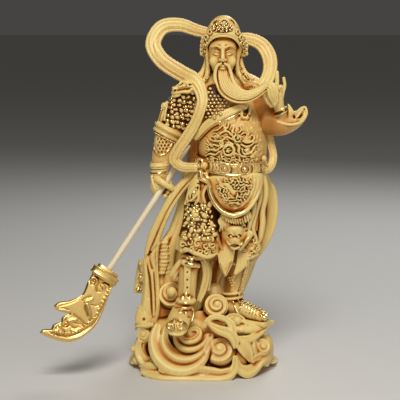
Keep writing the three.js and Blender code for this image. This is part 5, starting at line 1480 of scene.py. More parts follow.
# painted shade at the foot of each dome and a painted highlight on its crown, through the patina
foot = between(stud_tree, split["Z"], 0.0, 1.0, 0.8, 0.3)
form = join(
    stud_tree, "GeometryNodeStoreNamedAttribute", {"Geometry": form, "Name": "hollow", "Value": foot},
    data_type="FLOAT", domain="POINT",
).outputs[0]
form = join(
    stud_tree, "GeometryNodeStoreNamedAttribute", {"Geometry": form, "Name": "gilt", "Value": asked["Gilt"]},
    data_type="FLOAT", domain="POINT",
).outputs[0]
out = join(stud_tree, "GeometryNodeInputNamedAttribute", {"Name": "out"}, data_type="FLOAT_VECTOR").outputs[0]
ahead = join(stud_tree, "GeometryNodeInputNamedAttribute", {"Name": "ahead"},
    data_type="FLOAT_VECTOR").outputs[0]
turned = join(stud_tree, "FunctionNodeAlignRotationToVector", {"Vector": out}, axis="Z").outputs[0]
turned = join(
    stud_tree, "FunctionNodeAlignRotationToVector", {"Rotation": turned, "Vector": ahead}, axis="Y",
    pivot_axis="Z"
).outputs[0]
least = sums(stud_tree, "SUBTRACT", 1.0, asked["Disorder"])
most = sums(stud_tree, "ADD", 1.0, asked["Disorder"])
chance = stud_tree.nodes.new("FunctionNodeRandomValue")
chance.data_type = "FLOAT"
for number, value in ((2, least), (3, most), (8, asked["Seed"])):
    stud_tree.links.new(value, chance.inputs[number])
size = join(stud_tree, "ShaderNodeVectorMath", {0: asked["Size"], "Scale": chance.outputs[1]},
    operation="SCALE").outputs[0]
placed = join(
    stud_tree, "GeometryNodeInstanceOnPoints",
    {"Points": asked["Points"], "Instance": form, "Rotation": turned, "Scale": size},
).outputs[0]
real = join(stud_tree, "GeometryNodeRealizeInstances", {"Geometry": placed}).outputs[0]
smooth = join(stud_tree, "GeometryNodeSetShadeSmooth", {"Geometry": real}).outputs[0]
dressed = join(stud_tree, "GeometryNodeSetMaterial",
    {"Geometry": smooth, "Material": asked["Material"]}).outputs[0]
stud_tree.links.new(dressed, stud_tree.nodes.new("NodeGroupOutput").inputs[0])


def studs(name, spots, outs, aheads, size, gilt=0.0, point=0.0, disorder=0.12, seed=1):
    """A finished piece of studs on the given spots in mm. size is half width, half length and height."""
    seeds = bpy.data.meshes.new(name + "_seeds")
    seeds.from_pydata([tuple(np.asarray(s) * MM) for s in spots], [], [])
    for key, values in (("out", outs), ("ahead", aheads)):
        layer = seeds.attributes.new(key, "FLOAT_VECTOR", "POINT")
        layer.data.foreach_set("vector", np.asarray(values, np.float32).ravel())
    rough = bpy.data.objects.new(name + "_seeds", seeds)
    bpy.context.scene.collection.objects.link(rough)
    spread = rough.modifiers.new("studs", "NODES")
    spread.node_group = stud_tree
    chosen = {
        "Size": [v * MM for v in size], "Disorder": disorder, "Seed": seed, "Point": point, "Gilt": gilt,
        "Material": boxwood,
    }
    for item in stud_tree.interface.items_tree:
        if item.name in chosen and item.in_out == "INPUT":
            spread[item.identifier] = chosen[item.name]
    seen = rough.evaluated_get(bpy.context.evaluated_depsgraph_get())
    mesh = bpy.data.meshes.new_from_object(seen)
    bpy.data.objects.remove(rough)
    bpy.data.meshes.remove(seeds)
    dress(name, mesh)
    print(f"{name}: {len(spots)} studs, {sum(len(p.vertices) - 2 for p in mesh.polygons)} triangles")


def lattice(block, corners, pitch, way=BACK, depth=-45, near=None):
    """Spots of a brick pattern inside a polygon drawn from the front, laid on the wood."""
    corners = np.asarray(corners, float)
    low, high = corners.min(0), corners.max(0)
    spots = []
    for row in range(int((high[1] - low[1]) / (0.86 * pitch)) + 1):
        for column in range(int((high[0] - low[0]) / pitch) + 2):
            spots.append([low[0] + pitch * (column + 0.5 * (row % 2)), low[1] + 0.86 * pitch * row])
    spots = np.array(spots)
    inside = np.zeros(len(spots), bool)
    for (x1, z1), (x2, z2) in zip(corners, np.roll(corners, -1, 0)):
        level = (z1 > spots[:, 1]) != (z2 > spots[:, 1])
        crossing = x1 + (spots[:, 1] - z1) * (x2 - x1) / (z2 - z1 if z2 != z1 else 1e-9)
        inside ^= level & (spots[:, 0] < crossing)
    spots = spots[inside]
    starts = np.stack([spots[:, 0], np.full(len(spots), depth), spots[:, 1]], 1)
    found, facing, hit = block.land(starts, way, reach=70)
    if near is not None:
        hit &= np.abs(found[:, 1] - near(spots)) < 2.5
    return found[hit], facing[hit]


print("stud tree:", len(stud_tree.nodes), "nodes")

# %% [markdown]
# ### Mail on the chest and nuggets on the thigh
# The chest wears small even mail. The thigh wears coarse nuggets of uneven size, every second of them
# gilded. Both lie on dark ground, which is stain and painted shade between them.

# %% Mail and nuggets
chest = [(4.4, 161.6), (1.6, 150), (1.4, 142.2), (8.8, 144.3), (13.9, 148.2), (16, 151), (10.4, 155),
    (6.6, 158.4)]
found, facing = lattice(torso, chest, 2.2)
rng = np.random.default_rng(2)
found = found + rng.uniform(-0.12, 0.12, found.shape)
studs("chest_mail", found + 0.1 * facing, facing, [(0.35, 0, 1)] * len(found), (1.12, 0.9, 1.0), gilt=0.52,
    disorder=0.16, seed=2)
thigh_plate = [(-8.4, 95.4), (4.2, 95.8), (7.4, 84), (7, 77.2), (-10.6, 77.2), (-9.6, 86)]
found, facing = lattice(legs, thigh_plate, 2.3)
rng = np.random.default_rng(5)
found = found + rng.uniform(-0.55, 0.55, found.shape)
aheads = rng.normal(0, 1, found.shape)
bright = np.arange(len(found)) % 2 == 0
studs("thigh_nuggets", found[~bright], facing[~bright], aheads[~bright], (1.75, 1.15, 1.4), disorder=0.4,
    seed=3)
studs("thigh_nuggets_gilt", found[bright], facing[bright], aheads[bright], (1.7, 1.2, 1.5), gilt=0.9,
    disorder=0.4, seed=13)

# %% [markdown]
# ## Right arm
# This arm holds the pole. A beast's head sits on the shoulder, scales cover the upper sleeve, and the
# cuff is rolled back over a pierced vambrace with a crescent rim. The fingers close round the pole, so
# each follows its own path about the pole's line.

# %% Right arm
arm = Block((-33, -19, 94), (2, 14, 169), step=0.32)
sleeve = table("-6.4 1 160 7.8 8.2, -9 0.5 152 8.4 9.2, -12.8 0.5 143 8.6 9, -16.2 0.5 136 8 8.2")
# dark ground under the scales on the front of the sleeve: stain, and painted shade between the scales
arm.sweep(sleeve, gilt=front_only(-0.9), soft=0.8)
# beast's head: skull, snout, brows, jowl and mane
arm.blobs("-8 -5.4 160.8 5.8 5.4 4.3 0 -14 0", soft=1.2)
arm.sweep("-8.4 -7.8 161.2 3.4 3, -11.6 -8.6 160.4 2.6 2.4, -14 -8.6 159.4 1.8 1.7", soft=0.8)
arm.blobs("-15 -9 159 1.7 1.9 1.7", soft=0.3)
# painted shade in the nostril
arm.blobs("-14.9 -10.8 158.5 0.8 1.1 0.6 0 -16 0", carve=True, soft=0.2, gilt=-0.9)
arm.sweep("""
    -15.6 -8.6 156.8 0.7 1, -13.6 -9.8 157.2 0.9 1, -10.6 -10.6 157.9 1 1, -7.4 -10.4 157.8 1 1,
    -4.2 -8.8 159 0.9 1""", soft=0.3)
arm.sweep("-16.6 -7.4 155 0.6 0.8, -14.2 -9.2 155.4 0.8 0.8, -12 -9.8 156.1 0.6 0.7", soft=0.4)
# painted shade in the line of the mouth
draw(arm, "-13.4 158.6 0.4, -11.4 158.9 0.45, -9 159.3 0.45, -6.4 159 0.4", height=0.7, carve=True, gilt=-0.6)
draw(arm, """
    -12.6 161.6 0.7, -11.4 163 0.8, -9.6 163.2 0.8, -8 161.9 0.7, -7.8 160.5 0.6 /
    -12.8 160.4 0.5, -11.2 160.9 0.5 0.9, -10.2 161.9 0.4 0.7 /
    -8 163.4 0.7, -5.8 162.6 0.8, -4 163.6 0.6 /
    -7.6 160.8 0.5, -5.6 160.6 0.7, -3.6 161.6 0.5 /
    -7.4 159 0.5, -5.2 159 0.6, -3.2 160 0.5""", height=0.9, trench=0.3)
arm.blobs("-9.9 -11 161.2 1.05 1 0.95", soft=0.25)
for k in range(7):
    arm.sweep([[-4.6, -3.6 + 1.6 * k, 164.2, 0.8, 0.9], [-3.2 - 0.4 * k, -3.6 + 1.9 * k, 161.5, 0.9, 0.9],
        [-5.2 - 0.6 * k, -3.8 + 2 * k, 158.6, 0.7, 0.8]], UP, soft=0.4)

# plate on the outside of the arm, with a scroll at its head and a gilded edge
arm.sweep("""
    -19.4 -0.5 151.4 2.6 1.1, -21.6 -0.5 145.4 3.8 1.2, -23.4 -0.5 139 4.1 1.3""", (-1, 0, 0.15), square=0.6,
    soft=0.4)
roll(arm, (-21.3, -4.2, 149.6), 2.0, (-0.25, -1, 0.1), depth=2.2, hand=-1, start=2, lip=0.3, knob=0.3, soft=0.4)
arm.sweep("-22.6 -4.2 147.8 0.55 0.7, -23.9 -4.6 143.6 0.65 0.8, -25.2 -4.8 139.4 0.65 0.8", soft=0.3, gilt=1.0)
arm.sweep("-19.4 -6 150.2 0.5 0.6, -20.4 -6.6 146 0.6 0.7, -21 -7 141.8 0.6 0.7", soft=0.3, gilt=0.4)

# forearm with its vambrace, and the wrist with two bracelets
forearm = table("-19.4 -1 134 6.5 6.3, -21.8 -3 124 5.9 5.7, -23.6 -5.5 115 4.8 4.6, -24.2 -6.8 110 4.1 4.1")
# painted shade turns the front of the forearm amber
arm.sweep(forearm, soft=0.8, gilt=lambda u, v, s: np.where(v > -0.2, -0.32, 0.0))
plate = table("-20.4 -3 132 6.2 5.8, -22 -4.8 127 5.2 5.2, -22.8 -6.2 123.8 3 3.6")
arm.sweep(plate, soft=0.4, gilt=0.0)
draw(arm, """
    -27 128.4 0.4 0.8, -26.4 124.6 0.55, -24.2 122.3 0.7 1.1, -21.2 122.9 0.7 1.1, -18.6 125.6 0.55,
    -16.6 129 0.4 0.8""", height=0.8, gilt=1.0)
# pierced dots with painted shade in them
for row in range(5):
    for column in range(4):
        x, z = -24.9 + 2.0 * column + 0.9 * (row % 2) + 0.1 * row, 131.6 - 1.85 * row
        if abs(x + 22) < 4.6 - 0.5 * row:
            draw(arm, [[[x, z, 0.45, 1], [x, z - 0.35, 0.45, 1]]], height=0.85, carve=True, gilt=-0.8)
arm.sweep("""
    -26.6 -3 129 0.5 0.7, -27.4 -4.4 123 0.5 0.7, -28 -5 118.6 0.5 0.7""", (-1, -0.4, 0), soft=0.3, gilt=0.8)


def hoop(block, centre, across, front, tilt, wide, thick, **look):
    """A band round a limb. across and front are its half sizes, tilt is its rise towards -X in degrees."""
    side = np.array([math.cos(math.radians(tilt)), 0, -math.sin(math.radians(tilt))])
    turns = np.linspace(0, 2 * math.pi, 25)
    spots = [np.array(centre) + across * math.cos(t) * side + front * math.sin(t) * np.array(BACK)
        for t in turns]
    faces = [math.cos(t) * side + math.sin(t) * np.array(BACK) for t in turns]
    block.sweep([[*s, wide, thick] for s in spots], faces, **look)
    return spots, faces


for height, tilt, sizes, leaf in ((116.4, -4, (5.0, 5.0), 0.2), (112.2, -5, (4.6, 4.6), 0.95)):
    middle = (-24.0 + 0.06 * (height - 115), -5.9 - 0.12 * (115 - height), height)
    hoop(arm, middle, *sizes, tilt, 0.85, 0.6, soft=0.25, gilt=leaf)
    hoop(arm, (*middle[:2], height + 0.8), sizes[0] - 0.3, sizes[1] - 0.3, tilt, 0.5, 0.4, soft=0.2, gilt=-0.9)
    hoop(arm, (*middle[:2], height + 1.5), sizes[0] - 0.1, sizes[1] - 0.1, tilt, 0.4, 0.45, soft=0.25, gilt=0.0)
    hoop(arm, (*middle[:2], height - 1.4), sizes[0] - 0.2, sizes[1] - 0.2, tilt, 0.4, 0.45, soft=0.25, gilt=0.0)

# cuff rolled back over the elbow, with two soft folds
cuff = (-18.7, -1.6, 135.5)
hoop(arm, cuff, 7.3, 7.4, 27, 3.1, 1.5, soft=0.7, relief=lambda u, v, s: 0.45 * np.cos(5.2 * u + 1.3))
hoop(arm, (-19.5, -1.7, 132.9), 7.0, 7.1, 27, 0.8, 1.0, soft=0.4)
bead_line, bead_faces = hoop(arm, (-20.1, -1.8, 131.5), 7.0, 7.2, 27, 0.4, 0.5, soft=0.3, gilt=0.6)

# hand and fingers round the pole, which passes through this spot
GRIP = np.array([-21.7, -7.8, 104.8])
arm.blob(GRIP + (-2.8, 0.8, 1.6), (4.5, 4.2, 6.8), turn=(0, 18, 0), soft=1.4)
arm.blob(GRIP + (0.8, 2.5, -0.5), (4.4, 2.4, 5.4), turn=(0, 30, 0), soft=1)
# the thumb crosses the front of the pole, and the fingers come round from behind it
for k, step in enumerate((-4.4, -1.6, 1.4)):
    a, b = 0.5 * step, 0.75 * step
    joints = [(-3.4, 2.4, -0.6), (1, 3.6, -1.4), (3.6, 1, -2.2), (3.3, -1.8, -2)]
    line = [[*(GRIP + np.array([p[0] + a, p[1], p[2] + b])), 1.5 - 0.1 * n, 1.5 - 0.1 * n]
        for n, p in enumerate(joints)]
    arm.sweep(line, soft=0.4, blunt=0.9)
thumb = [(-3.6, -1.8, 4.4), (-1.6, -3.8, 3.2), (1, -4.8, 1.6), (3.4, -4.5, 0), (5, -3.6, -1.4)]
arm.sweep([[*(GRIP + np.array(p)), 2.1 - 0.22 * n, 1.9 - 0.18 * n] for n, p in enumerate(thumb)], soft=0.6,
    blunt=0.9)
arm.sweep([[*(GRIP + (4.2, -4.9, -0.3)), 0.9, 0.7], [*(GRIP + (5.2, -4.4, -1.3)), 0.6, 0.5]], soft=0.25,
    blunt=0.9)
for step in (-2, 0.4):
    arm.sweep([[*(GRIP + np.array([-6.2 + step * 0.3, -1.8, 4 - step])), 0.5, 0.5],
        [*(GRIP + np.array([-5.2 + step * 0.3, -2.6, -1 - step])), 0.6, 0.6]], soft=0.6)
carved("right_arm", arm, boxwood, most=100000, fine=0.9, broad=3.0)

# %% [markdown]
# ### Scales of the sleeve
# Rows of scales run round the upper sleeve, over a dark ground of stain and painted shade, and every third
# one is gilded. Lines are sent inwards from a ring round each row, and a scale is set where a line meets
# that dark ground. Small grains fill the gaps, and a string of beads closes the cuff.

# %% Scales of the sleeve
spots, outs = [], []
line, wides, thicks, _ = path_of(sleeve, FRONT, 2.5)
for row, middle in enumerate(line[1:-1]):
    for column in range(19):
        turn = 2 * math.pi * (column + 0.5 * (row % 2)) / 19
        out = np.array([math.cos(turn), math.sin(turn), 0.18 * -math.cos(turn)])
        spots.append(middle + 14 * out)
        outs.append(out)
spots, outs = np.array(spots), np.array(outs)
found, facing, hit = arm.land(spots, -outs, reach=14)
hit &= (arm.sample(arm.gold, found) < -0.4) & (found[:, 2] > 136) & (found[:, 0] < -3)
found, facing = found[hit], facing[hit]
rng = np.random.default_rng(21)
found = found + rng.uniform(-0.45, 0.45, found.shape)
aheads = rng.normal(0, 0.45, found.shape) + (0.3, 0, 1)
bright = np.arange(len(found)) % 3 == 0
studs("sleeve_scales", (found + 0.1 * facing)[~bright], facing[~bright], aheads[~bright], (1.35, 1.2, 1.15),
    point=0.5, disorder=0.26, seed=4)
studs("sleeve_scales_gilt", (found + 0.1 * facing)[bright], facing[bright], aheads[bright], (1.4, 1.3, 1.25),
    gilt=0.8, point=0.5, disorder=0.26, seed=14)
between_them = found + 1.35 * np.cross(facing, aheads) / np.linalg.norm(aheads, axis=1)[:, None]
studs("sleeve_grains", between_them, facing, aheads, (0.7, 0.7, 0.7), gilt=0.7, point=0.5, disorder=0.3,
    seed=24)
line = through(bead_line, [2] * (len(bead_line) - 1))[:-1]
faces = through(bead_faces, [2] * (len(bead_faces) - 1))[:-1]
studs("cuff_beads", line + 0.35 * faces, faces, [UP] * len(line), (0.6, 0.6, 0.6), gilt=0.6, seed=5)

# %% [markdown]
# ## Left arm
# The left hand is raised under the end of the beard. The wide sleeve hangs from the forearm and its
# corner blows outwards. A dark bracelet with one bright boss closes the wrist.

# %% Left arm
arm = Block((19, -23, 126), (61, 13, 173), step=0.32)


def creases(count, depth, shift=0.0):
    """Folds that run round a sleeve and fade at its ends."""
    def relief(across, out, along):
        return -depth * np.exp(-2.5 * (np.sin(count * along + 1.8 * across + shift)) ** 2) * ease(0, 2, along)
    return relief


# painted shade on the front of the upper sleeve, darker down the arm
arm.sweep("""
    30 2 158 7.8 7.6, 35 0.5 149 8.5 8, 39 -2 141 7.6 7.4, 42 -5 138 5.6 6.2""", soft=1.5,
    relief=creases(0.34, 0.4), gilt=lambda u, v, s: -0.55 * ease(2, 7, s) * (v > -0.2))
# the bag of the sleeve, its hollow mouth at the tip, and the lip that runs round it
bag = table("""
    36 -4.6 141.4 8 6, 44 -6.6 140.2 7.2 6.4, 51 -6.6 141.8 5.4 5, 55.2 -5.6 144.2 3.7 3.3,
    57.2 -5 146.2 2.3 2.1""")
# painted shade on the front of the bag, lighter towards its tip
arm.sweep(bag, (0.2, -1, 0.2), soft=1.2, gilt=lambda u, v, s: (0.3 * ease(4, 15, s) - 0.62) * (v > -0.2),
    relief=lambda u, v, s: -0.3 * bell(u, -0.35, 0.25))
arm.sweep("42 -5 139 5 5, 43.6 -8.6 144 4.2 4.4, 44.2 -11 147.4 3 3.2", soft=1.2)
arm.sweep("48.4 -9 140.8 0.9 1.6, 48.8 -9.6 145 1.2 1.6, 48.4 -9.4 149 0.7 1, 47.8 -9 151 0.3 0.5", soft=0.7)
arm.sweep("48.6 -9.6 150.2 0.4 0.7, 50.4 -10 146.6 0.8 1, 51.6 -10.6 143.2 0.7 1", soft=0.5)
arm.blobs("51.6 -11.4 144.4 1.3 2 1.6 0 20 0", soft=0.6, carve=True)
arm.blobs("55.2 -9 145.2 3.1 2.2 1.5 0 -42 0", soft=0.8, carve=True)
arm.sweep("52.4 -11.2 143.6 0.6 0.9, 54.2 -10.4 145.8 0.7 0.9, 56.2 -8.4 148.4 0.6 0.8", soft=0.4)
lip_line = table("""
    41.8 -12 141.4 0.5 0.8, 47.2 -13 139.9 0.75 1.1, 51 -12.4 139.9 0.8 1.1, 54.4 -10.8 140.7 0.8 1.1,
    57.3 -8 143 0.8 1, 58.6 -5.6 146.2 0.75 0.9, 57.7 -4.6 148.8 0.7 0.8, 55.8 -5 148.6 0.6 0.8,
    53 -6.4 146.4 0.6 0.8""")
arm.sweep([[x, y - 0.4, z - 1.5, 0.45, 1] for x, y, z, w, t in lip_line[1:5]], soft=0.4, carve=True)
arm.sweep(lip_line, soft=0.5)
# bracelet, tipped up to the right
hoop(arm, (43.8, -11.2, 147), 3.4, 3.4, -26, 1.05, 0.5, soft=0.3, gilt=-0.9)
hoop(arm, (43.8, -11.2, 148.3), 3.3, 3.4, -26, 0.35, 0.5, soft=0.25, gilt=0.8)
hoop(arm, (43.8, -11.2, 145.7), 3.5, 3.5, -26, 0.35, 0.5, soft=0.25, gilt=0.5)
arm.blobs("42.6 -14.8 146.4 1.7 0.8 1 0 -26 0", soft=0.2, gilt=-0.95)
arm.blobs("44.9 -14.4 148 0.7 0.6 0.7", soft=0.2, gilt=0.9)
# beast's head on this shoulder, turned amber by painted shade
arm.blobs("28.6 -5.4 160 5.6 4.8 3.6 0 20 0", soft=1.2, gilt=-0.42)
arm.sweep("29 -8 160 2.6 2, 32.6 -8.6 158.6 2 1.8, 34.6 -8 157.4 1.3 1.3", soft=0.8, gilt=-0.42)
draw(arm, """
    24 163.4 0.6, 26.6 162.4 0.7, 28.4 163.2 0.6 /
    25 160.6 0.6, 27.4 161.4 0.6, 28.8 160.4 0.5, 27.8 159.2 0.4 /
    24.6 158.4 0.5, 27.2 158 0.6, 30 158.2 0.6 /
    22.8 165.4 0.5, 21.6 163.4 0.6, 22.2 161.6 0.5""", height=0.8, trench=0.3)
arm.blobs("29.2 -9.6 161 0.8 0.8 0.8", soft=0.25)
# hand: palm, thumb and four fingers
arm.sweep("43.2 -11.2 147.6 2.6 2.7, 42 -12.6 152 3.3 2.7, 41.4 -13 156.6 3 2.5", soft=0.8, blunt=0.8)
digits = [
    ([(41.2, -13, 156), (41.3, -14.6, 163), (41.2, -14.2, 168.6)], 1.3),
    ([(41.4, -13.4, 156), (41.8, -15, 160.4), (41, -16, 161.8), (39, -16.4, 161.4)], 1.15),
    ([(42.6, -12.8, 155), (43.6, -14.6, 159.6), (43.4, -15.6, 161), (42.2, -15.8, 160)], 1.1),
    ([(43.4, -12, 151), (44.6, -12.8, 157), (45.6, -13, 161.6), (45.1, -13, 165.4)], 1.1),
    ([(38.4, -13.6, 150.6), (35.6, -14.4, 154), (34.2, -15, 158), (34.4, -15.4, 161.6)], 1.5),
]
for spots, thick in digits:
    arm.sweep([[*s, thick * (1 - 0.07 * n), thick * (1 - 0.1 * n)] for n, s in enumerate(spots)], soft=0.35,
        blunt=1.0)
# painted shade in the crease across the fingers
draw(arm, "38.6 162.4 0.6, 41 161.8 0.8, 43.6 162.2 0.6", height=0.5, carve=True, gilt=-0.6)
carved("left_arm", arm, boxwood, most=60000, fine=0.9, broad=3.0)

# %% [markdown]
# ## Head
# The face is our own: a calm mask built from the usual proportions, with five eye widths across, the eyes
# half way up the skull and the nose one eye wide. Over it come the helmet with its brim, flaps and flower
# boss, the hood that falls to the shoulders, and the long beard that is swept to the raised hand.

# %% Head, helmet and hood
head = Block((-7, -26, 146), (46, 16, 201), step=0.28)
# hood over the neck and shoulders
head.sweep("""
    11.8 4.5 188 9.2 6.5, 11.8 5 180 9.8 7.2, 11.8 5.4 172 10.4 7, 12.4 4.8 165.5 14 7.4,
    13 3.5 160.5 17.6 8.4""", BACK,
    relief=lambda u, v, s: -0.9 * np.exp(-5 * (np.sin(4.6 * u)) ** 2) * ease(4, 14, s), soft=1)
for side in (-1, 1):
    head.sweep([[12 + side * 9, -1, 181, 1.6, 2], [12 + side * 9.2, -1.6, 174, 1.8, 2.2],
        [12 + side * 11.2, -2.4, 168, 2.2, 2.2], [12 + side * 15, -3, 163.5, 3, 2]], soft=0.8)
    head.sweep([[12 + side * 7.8, -2.6, 178, 0.8, 1.4], [12 + side * 8, -4, 171, 1, 1.6],
        [12 + side * 9.8, -6, 165.4, 1.2, 1.6], [12 + side * 13.4, -6.6, 161.4, 1.4, 1.4]], soft=0.5)
# skull and face
FACE = 11.4
head.blob((FACE, -4, 178.6), (8.4, 10.4, 11.6), soft=0.8)
head.blob((FACE, -9, 173), (6.2, 5.4, 7), soft=1.4)
head.blob((FACE, -8.2, 183), (7.4, 5.6, 5.4), soft=1.4)
for side in (-1, 1):
    eye = FACE + side * 3.3
    head.blob((FACE + side * 4.7, -11.2, 174.6), (2.7, 2.4, 3), soft=1.4)
    head.blob((eye + side * 0.2, -15.2, 179.6), (2.5, 1.9, 1.5), carve=True, soft=1.1)
    head.blob((eye, -12.6, 179.4), (1.75, 1.5, 1.2), soft=0.3)
    head.sweep([[eye - side * 1.9, -13.7, 179.2, 0.3, 0.45], [eye, -14.4, 180.4, 0.35, 0.5],
        [eye + side * 2.2, -12.9, 179.5, 0.3, 0.45]], soft=0.35)
    head.sweep([[eye - side * 1.8, -13.6, 178.9, 0.22, 0.35], [eye, -13.9, 178.2, 0.25, 0.4],
        [eye + side * 2, -12.8, 179, 0.22, 0.35]], soft=0.3)
    # painted shade in the slit of the eye
    head.sweep([[eye - side * 1.6, -14.1, 179.3, 0.12, 0.3], [eye, -14.4, 179.5, 0.14, 0.3],
        [eye + side * 1.8, -13.2, 179.4, 0.12, 0.3]], soft=0.2, carve=True, gilt=-0.8)
    head.sweep([[eye - side * 1.9, -14.5, 182, 0.5, 0.6], [eye, -14.3, 183.1, 0.6, 0.7],
        [eye + side * 3, -12, 182.4, 0.35, 0.5]], soft=0.7)
head.sweep([[FACE, -13.6, 184, 1.3, 1.2], [FACE, -13.9, 181, 0.9, 1.2], [FACE, -14.7, 178.4, 1, 1.3],
    [FACE, -15.3, 176.3, 1.3, 1.5], [FACE, -14.9, 175, 1.2, 1.2]], soft=0.8)
for side in (-1, 1):
    head.blob((FACE + side * 1.45, -14.5, 175.4), (0.85, 1.1, 0.85), soft=0.4)
    head.blob((FACE + side * 0.75, -15.4, 174.3), (0.4, 0.6, 0.35), soft=0.2, carve=True)
head.sweep([[FACE - 2.3, -13.7, 171.9, 0.3, 0.5], [FACE - 0.8, -14.8, 172.3, 0.5, 0.6],
    [FACE, -14.9, 172.15, 0.45, 0.6], [FACE + 0.8, -14.8, 172.3, 0.5, 0.6],
    [FACE + 2.3, -13.7, 171.9, 0.3, 0.5]], UP, soft=0.4)
head.sweep([[FACE - 1.9, -13.6, 171.1, 0.3, 0.5], [FACE, -14.8, 170.7, 0.65, 0.65],
    [FACE + 1.9, -13.6, 171.1, 0.3, 0.5]], UP, soft=0.4)
# painted shade in the line of the mouth
head.sweep([[FACE - 2.3, -14.4, 171.6, 0.2, 0.3], [FACE, -15.6, 171.55, 0.2, 0.4],
    [FACE + 2.3, -14.4, 171.6, 0.2, 0.3]], soft=0.2, carve=True, gilt=-0.7)

# helmet: dome, ornament band, thin double brim, flaps and the flower boss
head.blobs("12 -1 186 10.2 11.2 13.9", soft=0.6)
band = table("""
    1.3 -1.8 178.6 2.2 1.5, 2.4 -7.4 186 2.6 1.5, 6.4 -11.4 190.6 2.9 1.5, 11.8 -12.8 192 3.1 1.5,
    17.2 -11.4 190.6 2.9 1.5, 21.4 -7.4 186 2.6 1.5, 22.6 -1.8 178.6 2.2 1.5""")
band_face = [(-1, -0.8, 0.1), (-0.8, -1, 0.3), (-0.3, -1, 0.5), (0, -1, 0.55), (0.3, -1, 0.5), (0.8, -1, 0.3),
    (1, -0.8, 0.1)]
head.sweep(band, band_face, square=0.7, soft=0.4)
brim = table("""
    1.9 -3.4 177.2 0.5 0.9, 2.9 -9.2 183.4 0.5 0.9, 6.5 -13.2 187.4 0.55 0.9, 11.6 -14.6 188.5 0.6 0.9,
    16.8 -13.2 187.4 0.55 0.9, 20.6 -9.2 183.4 0.5 0.9, 21.6 -3.4 177.2 0.5 0.9""")
head.sweep(brim, soft=0.25)
head.sweep([[x, y - 0.1, z + 1.25, w, t] for x, y, z, w, t in brim], soft=0.2)
for side in (-1, 1):
    # lining that closes the gap between cheek and brim
    head.sweep([[FACE + side * 7.4, -6.4, 186, 1.8, 1.8], [FACE + side * 8.3, -5.6, 180, 1.6, 2.2],
        [FACE + side * 8, -5.4, 173, 1.4, 1.9], [FACE + side * 8.8, -4.6, 166.5, 1.1, 1.6]], soft=0.9)
    middle = 12.4 + side * 10.6
    head.blob((middle, -1, 183.2), (2.2, 4.8, 5.8), soft=0.6)
    head.blob((middle + side * 0.2, -2.4, 178.8), (1.9, 2.6, 2), soft=0.6)
leaves = strokes("""
    9.4 195.6 0.5, 10.6 197.2 0.8, 12.2 197.9 0.8, 14 197.2 0.8, 15 195.6 0.5 /
    5.6 194.4 0.4, 6.2 196 0.5, 7.8 197.4 0.5 /
    18.6 194.6 0.4, 18 196.4 0.5, 16.4 197.8 0.5 /
    4.4 193.8 0.4, 3.9 191.8 0.6, 4.8 190.1 0.5 0.9 /
    19.4 194.2 0.4, 20.1 192 0.6, 19.2 190.3 0.5 0.9""")
draw(head, leaves, height=0.4, trench=0.6, gilt=0.1)
# painted shade in the hollows beside the top leaf
hollows = strokes("6.4 195.4 0.5, 7.8 196.3 0.8, 9.4 197 0.5 / 15.2 197.4 0.5, 16.4 196.8 0.8, 17.4 195.8 0.5")
draw(head, hollows, height=0.7, carve=True, gilt=-0.6)
# the dark ground of the flower, stain and painted shade between the petals that are set on it further down
BOSS = (11.2, 192.6)
draw(head, [[[BOSS[0] - 5.4, BOSS[1], 1.4, 1], [BOSS[0], BOSS[1], 2.8, 1], [BOSS[0] + 5.4, BOSS[1], 1.4, 1]]],
    height=0.3, carve=True, gilt=-0.95)
# lozenges, curls and drilled dots on the flaps; the dots carry painted shade
for side in (-1, 1):
    for along, up in ((7.6, 190.6), (9.4, 187.6), (10, 184.4)):
        spot = 12 + side * along
        lozenge = [[spot - 0.9, up, 0.35, 1], [spot, up + 1.2, 0.45, 1], [spot + 0.9, up, 0.35, 1],
            [spot, up - 1.2, 0.45, 1], [spot - 0.9, up, 0.35, 1]]
        draw(head, [lozenge], height=0.7, trench=0.3, gilt=0.3)
        dot(head, spot, up, 0.8, 0.5, height=0.9, carve=True, gilt=-0.9)
    for k in range(5):
        z = 187.4 - 2.2 * k
        spot = 12.4 + side * (11.1 + 0.12 * k)
        dot(head, spot, z, 0.6, 0.45, height=0.9, carve=True, gilt=-0.9)
        draw(head, [curl((spot, z - 1.1), 0.8, 0.6, side, 1.5, 0.36, 0.9)], height=0.7, gilt=0.3, trench=0.3)
        stroke(head, curl((-3.2 + 0.4 * k, z), 1.1, 0.9, side, 1.5, 0.36, 0.6), (side * 40 + 12, 0, 0),
            (0, 1, 0), UP, (-side, 0, 0), height=0.7, trench=0.25)
# curls of the collar at the left of the beard
draw(head, [curl((2.6, 165.6), 1.1, 1.1, 1, 0.4, 0.34, 0.3), curl((4.6, 163.6), 1.1, 1.1, -1, 2, 0.34, 0.3),
    curl((5.6, 160.8), 0.9, 1.1, 1, 1, 0.34, 0.3)], height=0.7, trench=0.35, gilt=0.2)
# gilt leaf and curls on the hood's second layer
draw(head, """
    22.6 167 0.5, 23.6 164.6 0.6, 26 163.4 0.5, 27.4 164.6 0.4 /
    23.4 162.4 0.5, 25.6 161.2 0.6, 27.8 161.6 0.5 /
    21.4 170.4 0.4, 22.2 168.6 0.5 /
    20.4 165.8 0.5, 21.4 163.6 0.6, 23.2 162.2 0.4 /
    24.6 166.6 0.4, 25.6 165 0.5 /
    26 160.2 0.4, 27.4 159.2 0.5""", height=0.7, gilt=0.55, trench=0.6)
# painted shade, amber, in the ground that shows between them
draw(head, """
    21.8 172.4 0.9, 22.4 169 1.2, 24 165.4 1 /
    22.4 163.6 0.8, 25.4 160.8 0.9""", height=0.3, carve=True, gilt=-0.5)


# %% [markdown]
# ### Beard
# The beard is one long tapered form that swings to the raised hand, with a second form for its end, which
# the hand holds. Hair in wood is a bundle of fine parallel cuts, so a cosine across the form makes them,
# and the moustache is two more forms in front.


